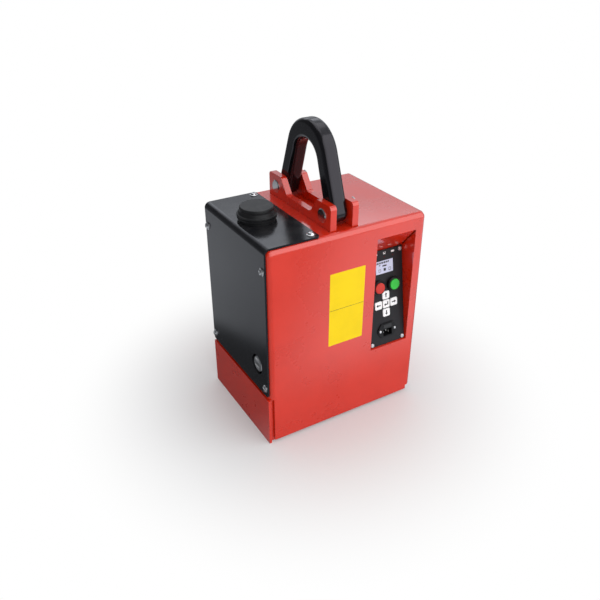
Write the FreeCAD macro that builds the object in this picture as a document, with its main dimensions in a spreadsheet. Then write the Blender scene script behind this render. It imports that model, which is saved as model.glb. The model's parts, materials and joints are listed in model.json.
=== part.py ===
import FreeCAD, Part
import math
import os
import Sketcher

# Battery lifting magnet. Millimetres, +Z up, the control panel faces -Y,
# the battery side is -X. The magnet stands on z = 0.

doc = FreeCAD.newDocument("BatteryLiftingMagnet")
sheet = doc.addObject("Spreadsheet::Sheet", "Sizes")


class Size(float):
    # A number that remembers the sheet expression it came from.
    def __new__(cls, value, text):
        made = float.__new__(cls, value)
        made.text = text
        return made

    def __add__(self, other):
        return Size(float(self) + float(other), "(%s + %s)" % (self.text, textOf(other)))

    def __radd__(self, other):
        return Size(float(other) + float(self), "(%s + %s)" % (textOf(other), self.text))

    def __sub__(self, other):
        return Size(float(self) - float(other), "(%s - %s)" % (self.text, textOf(other)))

    def __rsub__(self, other):
        return Size(float(other) - float(self), "(%s - %s)" % (textOf(other), self.text))

    def __mul__(self, other):
        return Size(float(self) * float(other), "(%s * %s)" % (self.text, textOf(other)))

    def __rmul__(self, other):
        return Size(float(other) * float(self), "(%s * %s)" % (textOf(other), self.text))

    def __truediv__(self, other):
        return Size(float(self) / float(other), "(%s / %s)" % (self.text, textOf(other)))

    def __neg__(self):
        return Size(-float(self), "(-%s)" % self.text)


def textOf(value):
    return value.text if isinstance(value, Size) else "%r" % float(value)


def sine(angle):
    return Size(math.sin(math.radians(angle)), "sin(%s * 1 deg)" % textOf(angle))


def cosine(angle):
    return Size(math.cos(math.radians(angle)), "cos(%s * 1 deg)" % textOf(angle))


# Driving sizes

sizeRows = [
    ("width", 387, "over the sheet covers"),
    ("depth", 280, "front face to back face"),
    ("housingTop", 468.5, "top of the red housing"),
    ("sheetGauge", 2, "red housing sheet"),
    ("coverGauge", 4, "battery cover sheet"),
    ("bendR", 12, "outside radius of the sheet bends"),
    ("cornerR", 14, "front cover's upper corners"),
    ("frontFlange", 12, "depth of the front cover's returns"),
    ("coverFlange", 28, "front cover's return under the battery cover"),
    ("seamGap", 0.5, "open seam between housing sheets"),
    ("frontFoot", 6.5, "front cover's lower edge above the floor"),
    ("rightFoot", 17, "right-hand panel's lower edge above the floor"),
    ("notchWide", 9, "front cover's lower notch at the battery cover"),
    ("notchRight", 13.5, "front cover's right-hand lower notch"),
    ("coverLift", 8.5, "battery cover's lower edge above the magnet base"),
    ("coverWide", 124, "battery cover across the top"),
    ("coverSet", 4, "battery cover's ends inside the front and back faces"),
    ("coverLip", 34, "top panel reaching under the battery cover"),
    ("coverCornerR", 6, "battery cover's rounded corners"),
    ("baseInset", 13, "right-hand side plate inside the right-hand panel"),
    ("baseTall", 117, "magnet base's height"),
    ("sidePlate", 5.5, "magnet side plates"),
    ("poleWide", 60, "thickness of a pole"),
    ("poleSet", 14, "poles' ends inside the front and back faces"),
    ("yokeGauge", 38, "yoke plate"),
    ("coilSpace", 74, "between the core and a pole"),
    ("coilEnds", 52, "between the core's and the poles' ends"),
    ("closeGauge", 8, "closing plates at front and rear of the base"),
    ("bottomGauge", 6, "bottom plate over the coil"),
    ("bottomSet", 3, "bottom plate's set-back from the pole faces"),
    ("formerWall", 3, "coil former wall"),
    ("coilGap", 1, "clearances round the coil"),
    ("coilRadius", 22, "winding's corner radius"),
    ("coilSide", 5, "coil former to the poles"),
    ("coreBolt", 16, "core bolt thread"),
    ("lugGap", 38, "between the lug plates"),
    ("lugGauge", 14, "lug plate"),
    ("lugSet", 15, "lug plates' ends inside the front and back faces"),
    ("earRise", 51.5, "top of the ears above the housing"),
    ("valleyRise", 17.5, "low part between the ears above the housing"),
    ("earLong", 52, "an ear's top"),
    ("earFoot", 77, "an ear down to the low part"),
    ("earCornerR", 8, "ear corners"),
    ("valleyR", 12, "valley corners"),
    ("lugSlot", 0.4, "clearance of the slots round the lug plates"),
    ("cableRise", 90, "cable hole above the magnet base"),
    ("cableDia", 60, "cable hole in the lug plates"),
    ("spacerDown", 80, "lug spacers below the low part"),
    ("pinInset", 31, "pins from the lug plates' ends"),
    ("pinRise", 24.5, "pins above the housing"),
    ("pinDia", 20, "pin shank"),
    ("pinHead", 29, "pin head"),
    ("pinHeadTall", 2.5, "pin head"),
    ("pinFit", 0.2, "pin to lug plate, radial"),
    ("bowFit", 1, "pin to bow, radial"),
    ("pinTail", 14, "pin beyond the right-hand plate"),
    ("pinChamfer", 1.5, "pin ends"),
    ("washerDia", 40, "pin washers"),
    ("washerGauge", 3, "pin washers"),
    ("splitDia", 4.6, "split pin"),
    ("splitTail", 7, "split pin's leg beyond the pin"),
    ("bowGauge", 36, "bow across its flat faces"),
    ("bowRise", 167, "crown of the bow above the pins"),
    ("bowCrownR", 77, "outside of the crown"),
    ("bowThick", 40.5, "bow at its crown"),
    ("bowInnerR", 44.5, "inside of the crown"),
    ("bowEyeR", 20, "bow's eyes"),
    ("bowEdge", 10, "rounding of the bow's edges"),
    ("recessWide", 100, "recess"),
    ("recessSide", 26, "recess to the right-hand side"),
    ("recessSill", 1.5, "recess's lower edge below the panel"),
    ("recessDown", 35.5, "recess's upper edge below the housing's top"),
    ("recessHead", 51.9, "recess's ceiling, panel to front face"),
    ("slitWide", 2, "open seam in the recess's corner"),
    ("slitStart", 3.5, "open seam from the panel's head"),
    ("slitStop", 2.6, "open seam from the front face"),
    ("reliefDia", 4.8, "relief hole at the seam's end"),
    ("panelTilt", 9.2, "control panel leans back, degrees"),
    ("panelFoot", 4.6, "panel's lower edge behind the front face"),
    ("panelLong", 225, "control panel up its face"),
    ("panelGap", 1.5, "control panel to the recess walls"),
    ("panelGauge", 3, "control panel"),
    ("panelWindowU", 36, "half the opening behind the panel"),
    ("panelWindowV", 14, "opening behind the panel, from its ends"),
    ("panelScrewU", 42, "panel screws from the middle"),
    ("panelScrewV", 6.5, "panel screws from the ends"),
    ("panelScrewDia", 5, "panel screws"),
    ("panelScrewLong", 10, "panel screws"),
    ("panelHeadTall", 3, "panel screw heads"),
    ("crossHalf", 0.5, "half a cross slot"),
    ("lampUp", 23, "status lamps above the display"),
    ("lampStep", 22.5, "status lamps apart"),
    ("lampBack", 8, "status lamps behind the panel's face"),
    ("lampDia", 3, "status lamps"),
    ("lampTop", 0.5, "status lamps above the panel"),
    ("displayDown", 39, "display below the panel's upper end"),
    ("displayWide", 46, "display"),
    ("displayTall", 29.5, "display"),
    ("moduleWide", 60, "display module"),
    ("moduleTall", 40, "display module"),
    ("moduleBack", 12, "display module behind the panel's face"),
    ("fitGap", 0.4, "moving piece to its opening"),
    ("buttonU", 20, "push buttons from the middle"),
    ("buttonDown", 43.5, "push buttons below the display"),
    ("buttonDia", 24.5, "push button discs"),
    ("buttonTop", 10, "push button discs above the panel"),
    ("buttonThick", 5, "push button discs"),
    ("stemDia", 13, "push button stems"),
    ("stemBack", 12, "push button stems behind the panel's face"),
    ("contactSide", 30, "contact blocks"),
    ("contactBack", 45, "contact blocks behind the panel's face"),
    ("contactWell", 4, "bores in the contact blocks"),
    ("collarDia", 32, "collars"),
    ("collarTall", 8, "collars"),
    ("collarWell", 4, "room under a push button disc"),
    ("collarChamfer", 1.2, "collar rims"),
    ("sleeveDia", 22, "collar sleeves through the panel"),
    ("sleeveLong", 15, "collar sleeves behind the panel's face"),
    ("keyDown", 44, "middle key below the push buttons"),
    ("keyStep", 21, "keys apart"),
    ("keySide", 18.5, "keys"),
    ("keyR", 3, "key corners"),
    ("keyTop", 1.6, "keys above the panel"),
    ("keyBack", 4, "keys behind the panel's face"),
    ("keyTravel", 0.8, "press of a key"),
    ("boardGauge", 1.6, "circuit boards"),
    ("boardBack", 6.6, "key board behind the panel's face"),
    ("boardHalfU", 35, "key board half width"),
    ("boardHalfV", 31, "key board half height"),
    ("inletDown", 63.8, "mains inlet below the middle key"),
    ("inletScrewU", 20, "inlet screws from the middle"),
    ("inletScrewDia", 3, "inlet screws"),
    ("inletScrewLong", 8, "inlet screws"),
    ("inletHeadTall", 2, "inlet screw heads"),
    ("inletHalfU", 25.5, "inlet flange half width"),
    ("inletHalfV", 17, "inlet flange half height"),
    ("inletGauge", 3, "inlet flange"),
    ("inletDeep", 30, "inlet behind the panel's face"),
    ("inletWall", 2, "inlet's walls beside the socket"),
    ("socketU", 12, "socket half width"),
    ("socketV0", -13.5, "socket's lower edge from the inlet's middle"),
    ("socketV1", 3, "socket's upper edge from the inlet's middle"),
    ("socketDeep", 16, "socket depth behind the panel's face"),
    ("bladeGauge", 2, "inlet contacts"),
    ("bladeWide", 4, "inlet contacts"),
    ("drawerU", 11, "fuse drawer half width"),
    ("drawerV0", 5.5, "fuse drawer's lower edge from the inlet's middle"),
    ("drawerV1", 14.5, "fuse drawer's upper edge from the inlet's middle"),
    ("drawerDeep", 20, "fuse drawer behind the panel's face"),
    ("drawerTop", 0.6, "fuse drawer proud of the inlet"),
    ("fuseDia", 5, "mains fuse"),
    ("fuseWall", 1.2, "fuse drawer's walls round the fuse"),
    ("fuseSet", 3, "fuse from the drawer's inner end"),
    ("fuseGap", 0.5, "fuse to its drawer"),
    ("holeDia", 45, "round hole in the battery cover"),
    ("knobInset", 50, "isolator from the front face"),
    ("knobLift", 60.5, "isolator above the battery cover's lower edge"),
    ("knobDia", 36, "isolator knob"),
    ("knobSet", 1, "isolator knob behind the battery cover's face"),
    ("knobTall", 8, "isolator knob"),
    ("knobEdge", 2, "isolator knob's chamfer"),
    ("gripDeep", 4.5, "hollows beside the knob's grip"),
    ("shaftLong", 18, "isolator's shaft"),
    ("isolatorGap", 5, "isolator body behind the knob"),
    ("isolatorDeep", 34, "isolator body"),
    ("isolatorEdge", 5, "isolator body beyond the knob"),
    ("bracketEdge", 4, "bracket beyond the isolator body"),
    ("bracketFoot", 40, "bracket's foot"),
    ("ventInset", 57, "vent from the battery cover's side"),
    ("ventRise", 29.5, "top of the vent cap above the battery cover"),
    ("ventTopR", 35.3, "vent cap's flat top"),
    ("ventLipR", 41.5, "vent cap's lips"),
    ("neckR", 29.5, "vent neck"),
    ("neckWall", 4, "vent neck"),
    ("neckDown", 14, "vent neck below the battery cover"),
    ("neckFlange", 8.5, "vent neck's flange"),
    ("neckFlangeTall", 5.7, "vent neck's flange"),
    ("neckHead", 9, "vent neck's top below the cap's"),
    ("sealGauge", 2, "vent seal"),
    ("lipTall", 9.4, "vent cap's lips together"),
    ("capEdge", 1.8, "rounding of the vent cap's top"),
    ("capRim", 5, "vent cap's rim"),
    ("capGroove", 1.2, "groove under the vent cap's rim"),
    ("screwHead", 17.5, "cover screw heads"),
    ("screwHeadTall", 5.4, "cover screw heads"),
    ("screwDia", 8, "cover screws"),
    ("screwLong", 16, "cover screws"),
    ("sideScrewIn", 14.5, "side screws from the front and back faces"),
    ("sideScrewLow", 18.5, "lower side screws above the battery cover's edge"),
    ("sideScrewHigh", 46.5, "upper side screws below the housing's top"),
    ("topScrewEdge", 12.4, "top screws from the battery cover's edge"),
    ("topScrewIn", 18.6, "top screws from the front and back faces"),
    ("batterySet", 19.5, "batteries inside the battery cover's side"),
    ("batteryGap", 6, "batteries to the lug plate"),
    ("batteryFront", 80, "batteries from the front face"),
    ("batteryRear", 6, "batteries from the back face"),
    ("batteryRoom", 28, "free height above the batteries"),
    ("postTall", 8, "battery posts"),
    ("rackGauge", 3, "battery rack"),
    ("strapGauge", 1.5, "battery strap"),
    ("strapWide", 30, "battery strap"),
    ("chargerTall", 73, "charger"),
    ("chargerFront", 130, "charger from the front face"),
    ("chargerRear", 20, "charger from the back face"),
    ("chargerGap", 15, "charger to the lug plate"),
    ("finDeep", 16, "charger's cooling slots"),
    ("finWide", 6, "charger's cooling slots"),
    ("finStep", 10, "charger's cooling slots apart"),
    ("contactorLift", 20, "contactor above the charger"),
    ("contactorSide", 70, "contactor"),
    ("contactorDeep", 65, "contactor off the lug plate"),
    ("contactorRear", 40, "contactor from the back face"),
    ("controlRear", 20, "control board from the back face"),
    ("controlDown", 27, "control board below the housing's top"),
    ("controlSide", 140, "control board"),
    ("controlStand", 10, "control board off the lug plate"),
    ("controlTall", 28, "parts on the control board"),
    ("stripWide", 24, "tapped strips behind the battery cover"),
    ("stripThick", 12, "tapped strips behind the battery cover"),
]


class SizeSet:
    pass


s = SizeSet()
for row, (alias, value, note) in enumerate(sizeRows, start=1):
    sheet.set("A%d" % row, alias)
    sheet.set("B%d" % row, "%r" % value)
    sheet.set("C%d" % row, note)
    sheet.setAlias("B%d" % row, alias)
    setattr(s, alias, Size(value, "Sizes." + alias))
doc.recompute()


# Drawing helpers

def drive(item, path, value):
    # Bind a property to the sheet, or set it where it is a plain number.
    item.setExpression(path, textOf(value))


def newBody(name, several=False):
    body = doc.addObject("PartDesign::Body", name)
    body.Label = name
    body.AllowCompound = several
    return body


def newSketch(body, role, offset):
    plane = [f for f in body.Origin.OriginFeatures if f.Role == role][0]
    sketch = body.newObject("Sketcher::SketchObject", "Sketch")
    sketch.AttachmentSupport = (plane, [""])
    sketch.MapMode = "FlatFace"
    drive(sketch, "AttachmentOffset.Base.z", offset)
    return sketch


def newPanelSketch(body, height):
    # On the leaning control panel: x from its middle, y up its face, height out of its face.
    sketch = newSketch(body, "XZ_Plane", 0)
    sketch.AttachmentOffset = FreeCAD.Placement(vec(0, 0), FreeCAD.Rotation(vec(1, 0), 1))
    drive(sketch, "AttachmentOffset.Base.x", panelX)
    drive(sketch, "AttachmentOffset.Base.y", panelZ + height * sine(s.panelTilt))
    drive(sketch, "AttachmentOffset.Base.z", -(front + s.panelFoot) + height * cosine(s.panelTilt))
    drive(sketch, "AttachmentOffset.Rotation.Angle", -s.panelTilt)
    return sketch


def bindLast(sketch, value):
    sketch.setExpression("Constraints[%d]" % (sketch.ConstraintCount - 1), textOf(value))


def fixPoint(sketch, geo, pos, x, y):
    sketch.addConstraint(Sketcher.Constraint("DistanceX", -1, 1, geo, pos, float(x)))
    bindLast(sketch, x)
    sketch.addConstraint(Sketcher.Constraint("DistanceY", -1, 1, geo, pos, float(y)))
    bindLast(sketch, y)


def vec(x, y, z=0.0):
    return FreeCAD.Vector(float(x), float(y), float(z))


def polygon(*points):
    def draw(sketch):
        first = sketch.GeometryCount
        count = len(points)
        for k in range(count):
            sketch.addGeometry(Part.LineSegment(vec(*points[k]), vec(*points[(k + 1) % count])))
        for k in range(count):
            sketch.addConstraint(Sketcher.Constraint("Coincident", first + k, 2, first + (k + 1) % count, 1))
        for k in range(count):
            fixPoint(sketch, first + k, 1, points[k][0], points[k][1])
    return draw


def rect(x0, x1, y0, y1):
    return polygon((x0, y0), (x1, y0), (x1, y1), (x0, y1))


def circle(x, y, radius):
    def draw(sketch):
        geo = sketch.addGeometry(Part.Circle(vec(x, y), vec(0, 0, 1), float(radius)))
        fixPoint(sketch, geo, 3, x, y)
        sketch.addConstraint(Sketcher.Constraint("Radius", geo, float(radius)))
        bindLast(sketch, radius)
    return draw


def smoothLoop(*pieces):
    # Arcs given as (centre x, centre y, radius, start, end) in turn with straight lines between them,
    # each line touching both arcs; angles in degrees only set out the first drawing.
    def draw(sketch):
        first = sketch.GeometryCount
        count = len(pieces)
        ends = []
        for x, y, radius, start, end in pieces:
            point = [vec(x + radius * math.cos(math.radians(a)), y + radius * math.sin(math.radians(a)))
                     for a in (start, end)]
            low, high = min(start, end), max(start, end)
            ring = Part.Circle(vec(x, y), vec(0, 0, 1), float(radius))
            sketch.addGeometry(Part.ArcOfCircle(ring, math.radians(low), math.radians(high)))
            ends.append((point[0], point[1], 1 if start < end else 2, 2 if start < end else 1))
        for k in range(count):
            sketch.addGeometry(Part.LineSegment(ends[k][1], ends[(k + 1) % count][0]))
        for k in range(count):
            line, follow = first + count + k, (k + 1) % count
            sketch.addConstraint(Sketcher.Constraint("Tangent", first + k, ends[k][3], line, 1))
            sketch.addConstraint(Sketcher.Constraint("Tangent", line, 2, first + follow, ends[follow][2]))
        for k, (x, y, radius, start, end) in enumerate(pieces):
            fixPoint(sketch, first + k, 3, x, y)
            sketch.addConstraint(Sketcher.Constraint("Radius", first + k, float(radius)))
            bindLast(sketch, radius)
    return draw


def roundRect(x0, x1, y0, y1, radius):
    left, right = x0 + radius, x1 - radius
    low, high = y0 + radius, y1 - radius
    return smoothLoop((right, low, radius, 270, 360), (right, high, radius, 0, 90),
                      (left, high, radius, 90, 180), (left, low, radius, 180, 270))


def hexagon(radius):
    return polygon(*[(radius * cosine(60 * k), radius * sine(60 * k)) for k in range(6)])


# Each plane with the sign of the sketch normal along its world axis.
planes = {"xy": ("XY_Plane", 1), "xz": ("XZ_Plane", -1), "yz": ("YZ_Plane", 1), "panel": ("panel", 1)}


def extrude(kind, body, plane, low, high, *shapes):
    role, sign = planes[plane]
    adding = kind == "PartDesign::Pad"
    start = low if (sign > 0) == adding else high
    if role == "panel":
        sketch = newPanelSketch(body, start)
    else:
        sketch = newSketch(body, role, start if sign > 0 else -start)
    for draw in shapes:
        draw(sketch)
    feature = body.newObject(kind, kind.split("::")[1])
    feature.Profile = sketch
    drive(feature, "Length", high - low)
    body.Tip = feature
    doc.recompute()
    return feature


def pad(body, plane, low, high, *shapes):
    return extrude("PartDesign::Pad", body, plane, low, high, *shapes)


def cut(body, plane, low, high, *shapes):
    before = body.Shape.Volume
    feature = extrude("PartDesign::Pocket", body, plane, low, high, *shapes)
    if "Invalid" in feature.State or not body.Shape.Volume < before:
        raise RuntimeError("a cut in %s failed: %s" % (body.Label, feature.getStatusString()))
    return feature


def spin(body, shape, kind="PartDesign::Revolution", turn=360):
    # Profile in (radius, height) turned about the body's own Z axis.
    sketch = newSketch(body, "XZ_Plane", 0)
    shape(sketch)
    feature = body.newObject(kind, kind.split("::")[1])
    feature.Profile = sketch
    feature.ReferenceAxis = (sketch, ["V_Axis"])
    feature.Angle = turn
    body.Tip = feature
    doc.recompute()
    return feature


def roundEdges(body, radius, points, kind="PartDesign::Fillet"):
    base = body.Tip
    names = []
    for point in points:
        spot = Part.Vertex(vec(*point))
        gaps = [edge.distToShape(spot)[0] for edge in base.Shape.Edges]
        names.append("Edge%d" % (gaps.index(min(gaps)) + 1))
    feature = body.newObject(kind, kind.split("::")[1])
    feature.Base = (base, sorted(set(names)))
    drive(feature, "Radius" if kind.endswith("Fillet") else "Size", radius)
    body.Tip = feature
    doc.recompute()
    return feature


def stand(item, x, y, z, axis=(0, 0, 1), angle=0):
    # Place an object, its position bound to the sheet.
    item.Placement = FreeCAD.Placement(vec(x, y, z), FreeCAD.Rotation(vec(*axis), 1))
    drive(item, "Placement.Base.x", x)
    drive(item, "Placement.Base.y", y)
    drive(item, "Placement.Base.z", z)
    drive(item, "Placement.Rotation.Angle", angle)


def block(name, x0, x1, y0, y1, z0, z1):
    item = doc.addObject("Part::Box", name)
    item.Label = name
    drive(item, "Length", x1 - x0)
    drive(item, "Width", y1 - y0)
    drive(item, "Height", z1 - z0)
    stand(item, x0, y0, z0)
    return item


def copies(name, master, spots):
    # Identical pieces in one node: spots are (x, y, z, axis, angle).
    links = []
    for spot in spots:
        link = doc.addObject("App::Link", name + "Copy")
        link.LinkedObject = master
        link.LinkTransform = False
        stand(link, *spot)
        links.append(link)
    group = doc.addObject("Part::Compound", name)
    group.Label = name
    group.Links = links
    return group


nodes = []


def keep(*items):
    nodes.extend(items)


half = s.width / 2
front = -s.depth / 2
rear = s.depth / 2
floorLevel = Size(0, "0")
baseLeft = -half
baseRight = half - s.baseInset
liftX = (baseLeft + baseRight) / 2
coverFoot = s.baseTall + s.coverLift
coverEdgeX = s.coverWide - half
recessX1 = half - s.recessSide
recessX0 = recessX1 - s.recessWide
recessZ1 = s.housingTop - s.recessDown
panelX = (recessX0 + recessX1) / 2
panelZ = recessZ1 - s.recessHead - s.panelLong * cosine(s.panelTilt)
recessZ0 = panelZ - s.recessSill
displayV = s.panelLong - s.displayDown
lampV = displayV + s.lampUp
buttonV = displayV - s.buttonDown
keyV = buttonV - s.keyDown
inletV = keyV - s.inletDown

# Magnet base

poleHalfY = rear - s.poleSet
poleLeft = baseLeft + s.sidePlate
poleRight = baseRight - s.sidePlate
gapLeft = poleLeft + s.poleWide
gapRight = poleRight - s.poleWide
plateFront = front + s.sheetGauge
plateRear = rear - s.sheetGauge
yokeFoot = s.baseTall - s.yokeGauge

leftSide = newBody("left_side_plate")
pad(leftSide, "yz", baseLeft, poleLeft, rect(plateFront, plateRear, floorLevel, s.baseTall))
rightSide = newBody("right_side_plate")
pad(rightSide, "yz", poleRight, baseRight, rect(front + s.bendR, plateRear, floorLevel, s.baseTall))
leftPole = block("left_pole", poleLeft, gapLeft, -poleHalfY, poleHalfY, floorLevel, s.baseTall)
rightPole = block("right_pole", gapRight, poleRight, -poleHalfY, poleHalfY, floorLevel, s.baseTall)

coreWide = gapRight - gapLeft - 2 * s.coilSpace
coreLong = 2 * (poleHalfY - s.coilEnds)
boltSpots = [(liftX + i * coreWide / 4, j * coreLong / 3) for i in (-1, 1) for j in (-1, 1)]
yoke = newBody("yoke_plate")
pad(yoke, "xy", yokeFoot, s.baseTall, rect(gapLeft, gapRight, -poleHalfY, poleHalfY))
cut(yoke, "xy", yokeFoot, s.baseTall, *[circle(x, y, s.coreBolt / 2) for x, y in boltSpots])
cut(yoke, "xy", s.baseTall - s.coreBolt, s.baseTall, *[circle(x, y, s.coreBolt) for x, y in boltSpots])

core = newBody("centre_core")
coreX0 = liftX - coreWide / 2
coreX1 = liftX + coreWide / 2
pad(core, "xy", floorLevel, yokeFoot, rect(coreX0, coreX1, -coreLong / 2, coreLong / 2))
boltDeep = yokeFoot - 2 * s.coreBolt
cut(core, "xy", boltDeep, yokeFoot, *[circle(x, y, s.coreBolt / 2) for x, y in boltSpots])

# Socket-head bolts that hold the core up to the yoke
boltMaster = newBody("core_bolt_master")
boltR = s.coreBolt / 2
boltHeadR = 1.5 * boltR
boltHeadTop = s.coreBolt
boltEnd = boltDeep - s.baseTall + boltHeadTop
spin(boltMaster, polygon((floorLevel, boltEnd), (boltR, boltEnd), (boltR, floorLevel),
                         (boltHeadR, floorLevel), (boltHeadR, boltHeadTop), (floorLevel, boltHeadTop)))
cut(boltMaster, "xy", boltHeadTop / 2, boltHeadTop, hexagon(boltR))
coreBolts = copies("core_bolts", boltMaster,
                   [(x, y, s.baseTall - s.coreBolt, (0, 0, 1), 0) for x, y in boltSpots])

bottomTop = s.bottomSet + s.bottomGauge
bottom = newBody("bottom_plate")
pad(bottom, "xy", s.bottomSet, bottomTop, rect(gapLeft, gapRight, -poleHalfY, poleHalfY))
cut(bottom, "xy", s.bottomSet, bottomTop, rect(coreX0, coreX1, -coreLong / 2, coreLong / 2))

formerX = coreWide / 2 + s.coilGap
formerY = coreLong / 2 + s.coilGap
coilX = (gapRight - gapLeft) / 2 - s.coilSide
coilY = poleHalfY - s.coilSide
coilFoot = bottomTop
coilHead = yokeFoot - s.coilGap
former = newBody("coil_former")
pad(former, "xy", coilFoot, coilHead, roundRect(liftX - coilX, liftX + coilX, -coilY, coilY, s.coilRadius))
cut(former, "xy", coilFoot, coilHead, rect(liftX - formerX, liftX + formerX, -formerY, formerY))
woundX = formerX + s.formerWall
woundY = formerY + s.formerWall
# the winding space: everything outside the tube, between the two flanges
cut(former, "xy", coilFoot + s.formerWall, coilHead - s.formerWall,
    rect(liftX - coilX - s.coilGap, liftX + coilX + s.coilGap, -coilY - s.coilGap, coilY + s.coilGap),
    rect(liftX - woundX, liftX + woundX, -woundY, woundY))
winding = newBody("coil_winding")
woundEndX = coilX - s.coilGap
woundEndY = coilY - s.coilGap
pad(winding, "xy", coilFoot + s.formerWall, coilHead - s.formerWall,
    roundRect(liftX - woundEndX, liftX + woundEndX, -woundEndY, woundEndY, s.coilRadius),
    rect(liftX - woundX, liftX + woundX, -woundY, woundY))

frontClose = block("front_closing_plate", poleLeft, poleRight, -poleHalfY - s.closeGauge, -poleHalfY,
                   s.bottomSet, s.baseTall)
rearClose = block("rear_closing_plate", poleLeft, poleRight, poleHalfY, poleHalfY + s.closeGauge,
                  s.bottomSet, s.baseTall)
keep(leftSide, rightSide, leftPole, rightPole, yoke, core, coreBolts, bottom, former, winding)
keep(frontClose, rearClose)

# Lug plates, pins and bow

lugIn = s.lugGap / 2
lugOut = lugIn + s.lugGauge
lugHalfY = rear - s.lugSet
lugTop = s.housingTop + s.earRise
lugValley = s.housingTop + s.valleyRise
earInner = lugHalfY - s.earLong
valleyHalf = lugHalfY - s.earFoot
pinY = lugHalfY - s.pinInset
pinZ = s.housingTop + s.pinRise
bowTop = pinZ + s.bowRise
bowInnerTop = bowTop - s.bowThick
lugHoleR = s.pinDia / 2 + s.pinFit
cableHole = (floorLevel, s.baseTall + s.cableRise, s.cableDia / 2)


def lugPlate(name, x0, x1):
    body = newBody(name)
    pad(body, "yz", x0, x1,
        polygon((-lugHalfY, s.baseTall), (lugHalfY, s.baseTall), (lugHalfY, lugTop), (earInner, lugTop),
                (valleyHalf, lugValley), (-valleyHalf, lugValley), (-earInner, lugTop),
                (-lugHalfY, lugTop)))
    middle = float(x0 + x1) / 2
    corners = [(middle, side * y, lugTop) for side in (-1, 1) for y in (lugHalfY, earInner)]
    roundEdges(body, s.earCornerR, corners)
    roundEdges(body, s.valleyR, [(middle, side * valleyHalf, lugValley) for side in (-1, 1)])
    cut(body, "yz", x0, x1, circle(-pinY, pinZ, lugHoleR), circle(pinY, pinZ, lugHoleR),
        circle(*cableHole))
    return body


lugLeft = lugPlate("left_lug_plate", liftX - lugOut, liftX - lugIn)
lugRight = lugPlate("right_lug_plate", liftX + lugIn, liftX + lugOut)
spacers = newBody("lug_spacers", several=True)
spacerR = s.pinDia / 2
spacerZ = lugValley - s.spacerDown
pad(spacers, "yz", liftX - lugIn, liftX + lugIn,
    circle(-pinY, spacerZ, spacerR), circle(pinY, spacerZ, spacerR))

bow = newBody("lifting_bow")
crownZ = bowTop - s.bowCrownR
innerZ = bowInnerTop - s.bowInnerR
bowLeft = liftX - s.bowGauge / 2
bowRight = liftX + s.bowGauge / 2
pad(bow, "yz", bowLeft, bowRight,
    smoothLoop((floorLevel, crownZ, s.bowCrownR, 25, 155), (-pinY, pinZ, s.bowEyeR, 155, 378),
               (floorLevel, innerZ, s.bowInnerR, 162, 18), (pinY, pinZ, s.bowEyeR, 162, 385)))
roundEdges(bow, s.bowEdge, [(x, floorLevel, bowTop) for x in (bowLeft, bowRight)])
bowHoleR = s.pinDia / 2 + s.bowFit
cut(bow, "yz", bowLeft, bowRight, *[circle(side * pinY, pinZ, bowHoleR) for side in (-1, 1)])


def pin(name, y):
    body = newBody(name)
    long = 2 * lugOut + s.pinTail
    headR = s.pinHead / 2
    pinR = s.pinDia / 2
    spin(body, polygon((floorLevel, -s.pinHeadTall), (headR - s.pinChamfer, -s.pinHeadTall),
                       (headR, s.pinChamfer - s.pinHeadTall), (headR, floorLevel), (pinR, floorLevel),
                       (pinR, long - s.pinChamfer), (pinR - s.pinChamfer, long), (floorLevel, long)))
    holeZ = long - s.pinTail / 2
    cut(body, "yz", -s.pinDia, s.pinDia, circle(floorLevel, holeZ, s.splitDia / 2 + s.pinFit))
    stand(body, liftX - lugOut, y, pinZ, (0, 1, 0), 90)
    return body


frontPin = pin("front_pin", -pinY)
rearPin = pin("rear_pin", pinY)
washerMaster = newBody("pin_washer_master")
pad(washerMaster, "xy", floorLevel, s.washerGauge, circle(floorLevel, floorLevel, s.washerDia / 2),
    circle(floorLevel, floorLevel, s.pinDia / 2 + s.pinFit))
washers = copies("pin_washers", washerMaster,
                 [(liftX + lugOut, side * pinY, pinZ, (0, 1, 0), 90) for side in (-1, 1)])
splitMaster = newBody("split_pin_master")
splitR = s.splitDia / 2
eyeR = s.splitDia * 1.1
splitTop = s.pinDia / 2 + splitR / 2
spin(splitMaster, rect(floorLevel, splitR, -s.pinDia / 2 - s.splitTail, splitTop + splitR / 2))
# the eye: a ring standing on the leg
ringSketch = newSketch(splitMaster, "XY_Plane", splitTop + eyeR + splitR / 2)
circle(eyeR, floorLevel, splitR)(ringSketch)
ring = splitMaster.newObject("PartDesign::Revolution", "Revolution")
ring.Profile = ringSketch
ring.ReferenceAxis = (ringSketch, ["V_Axis"])
ring.Angle = 360
splitMaster.Tip = ring
doc.recompute()
splitX = liftX + lugOut + s.pinTail / 2
splitPins = copies("split_pins", splitMaster,
                   [(splitX, side * pinY, pinZ, (0, 0, 1), 90) for side in (-1, 1)])
keep(lugLeft, lugRight, spacers, bow, frontPin, rearPin, washers, splitPins)

# Housing sheets

coverX0 = -half + s.coverGauge
sideScrewY = rear - s.sideScrewIn
sideScrewZ0 = coverFoot + s.sideScrewLow
sideScrewZ1 = s.housingTop - s.sideScrewHigh
topScrewX = coverEdgeX - s.topScrewEdge
topScrewY = rear - s.topScrewIn
knobY = front + s.knobInset
knobZ = coverFoot + s.knobLift
ventX = s.ventInset - half
ventTop = s.housingTop + s.coverGauge + s.ventRise
topIn = s.housingTop - s.sheetGauge
cornerY = front + s.coverFlange / 2
coverY0 = front + s.coverSet
coverY1 = rear - s.coverSet


def panelPoint(up, out):
    # A point of the panel's middle line as (y, z).
    return (front + s.panelFoot + up * sine(s.panelTilt) - out * cosine(s.panelTilt),
            panelZ + up * cosine(s.panelTilt) + out * sine(s.panelTilt))


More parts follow.
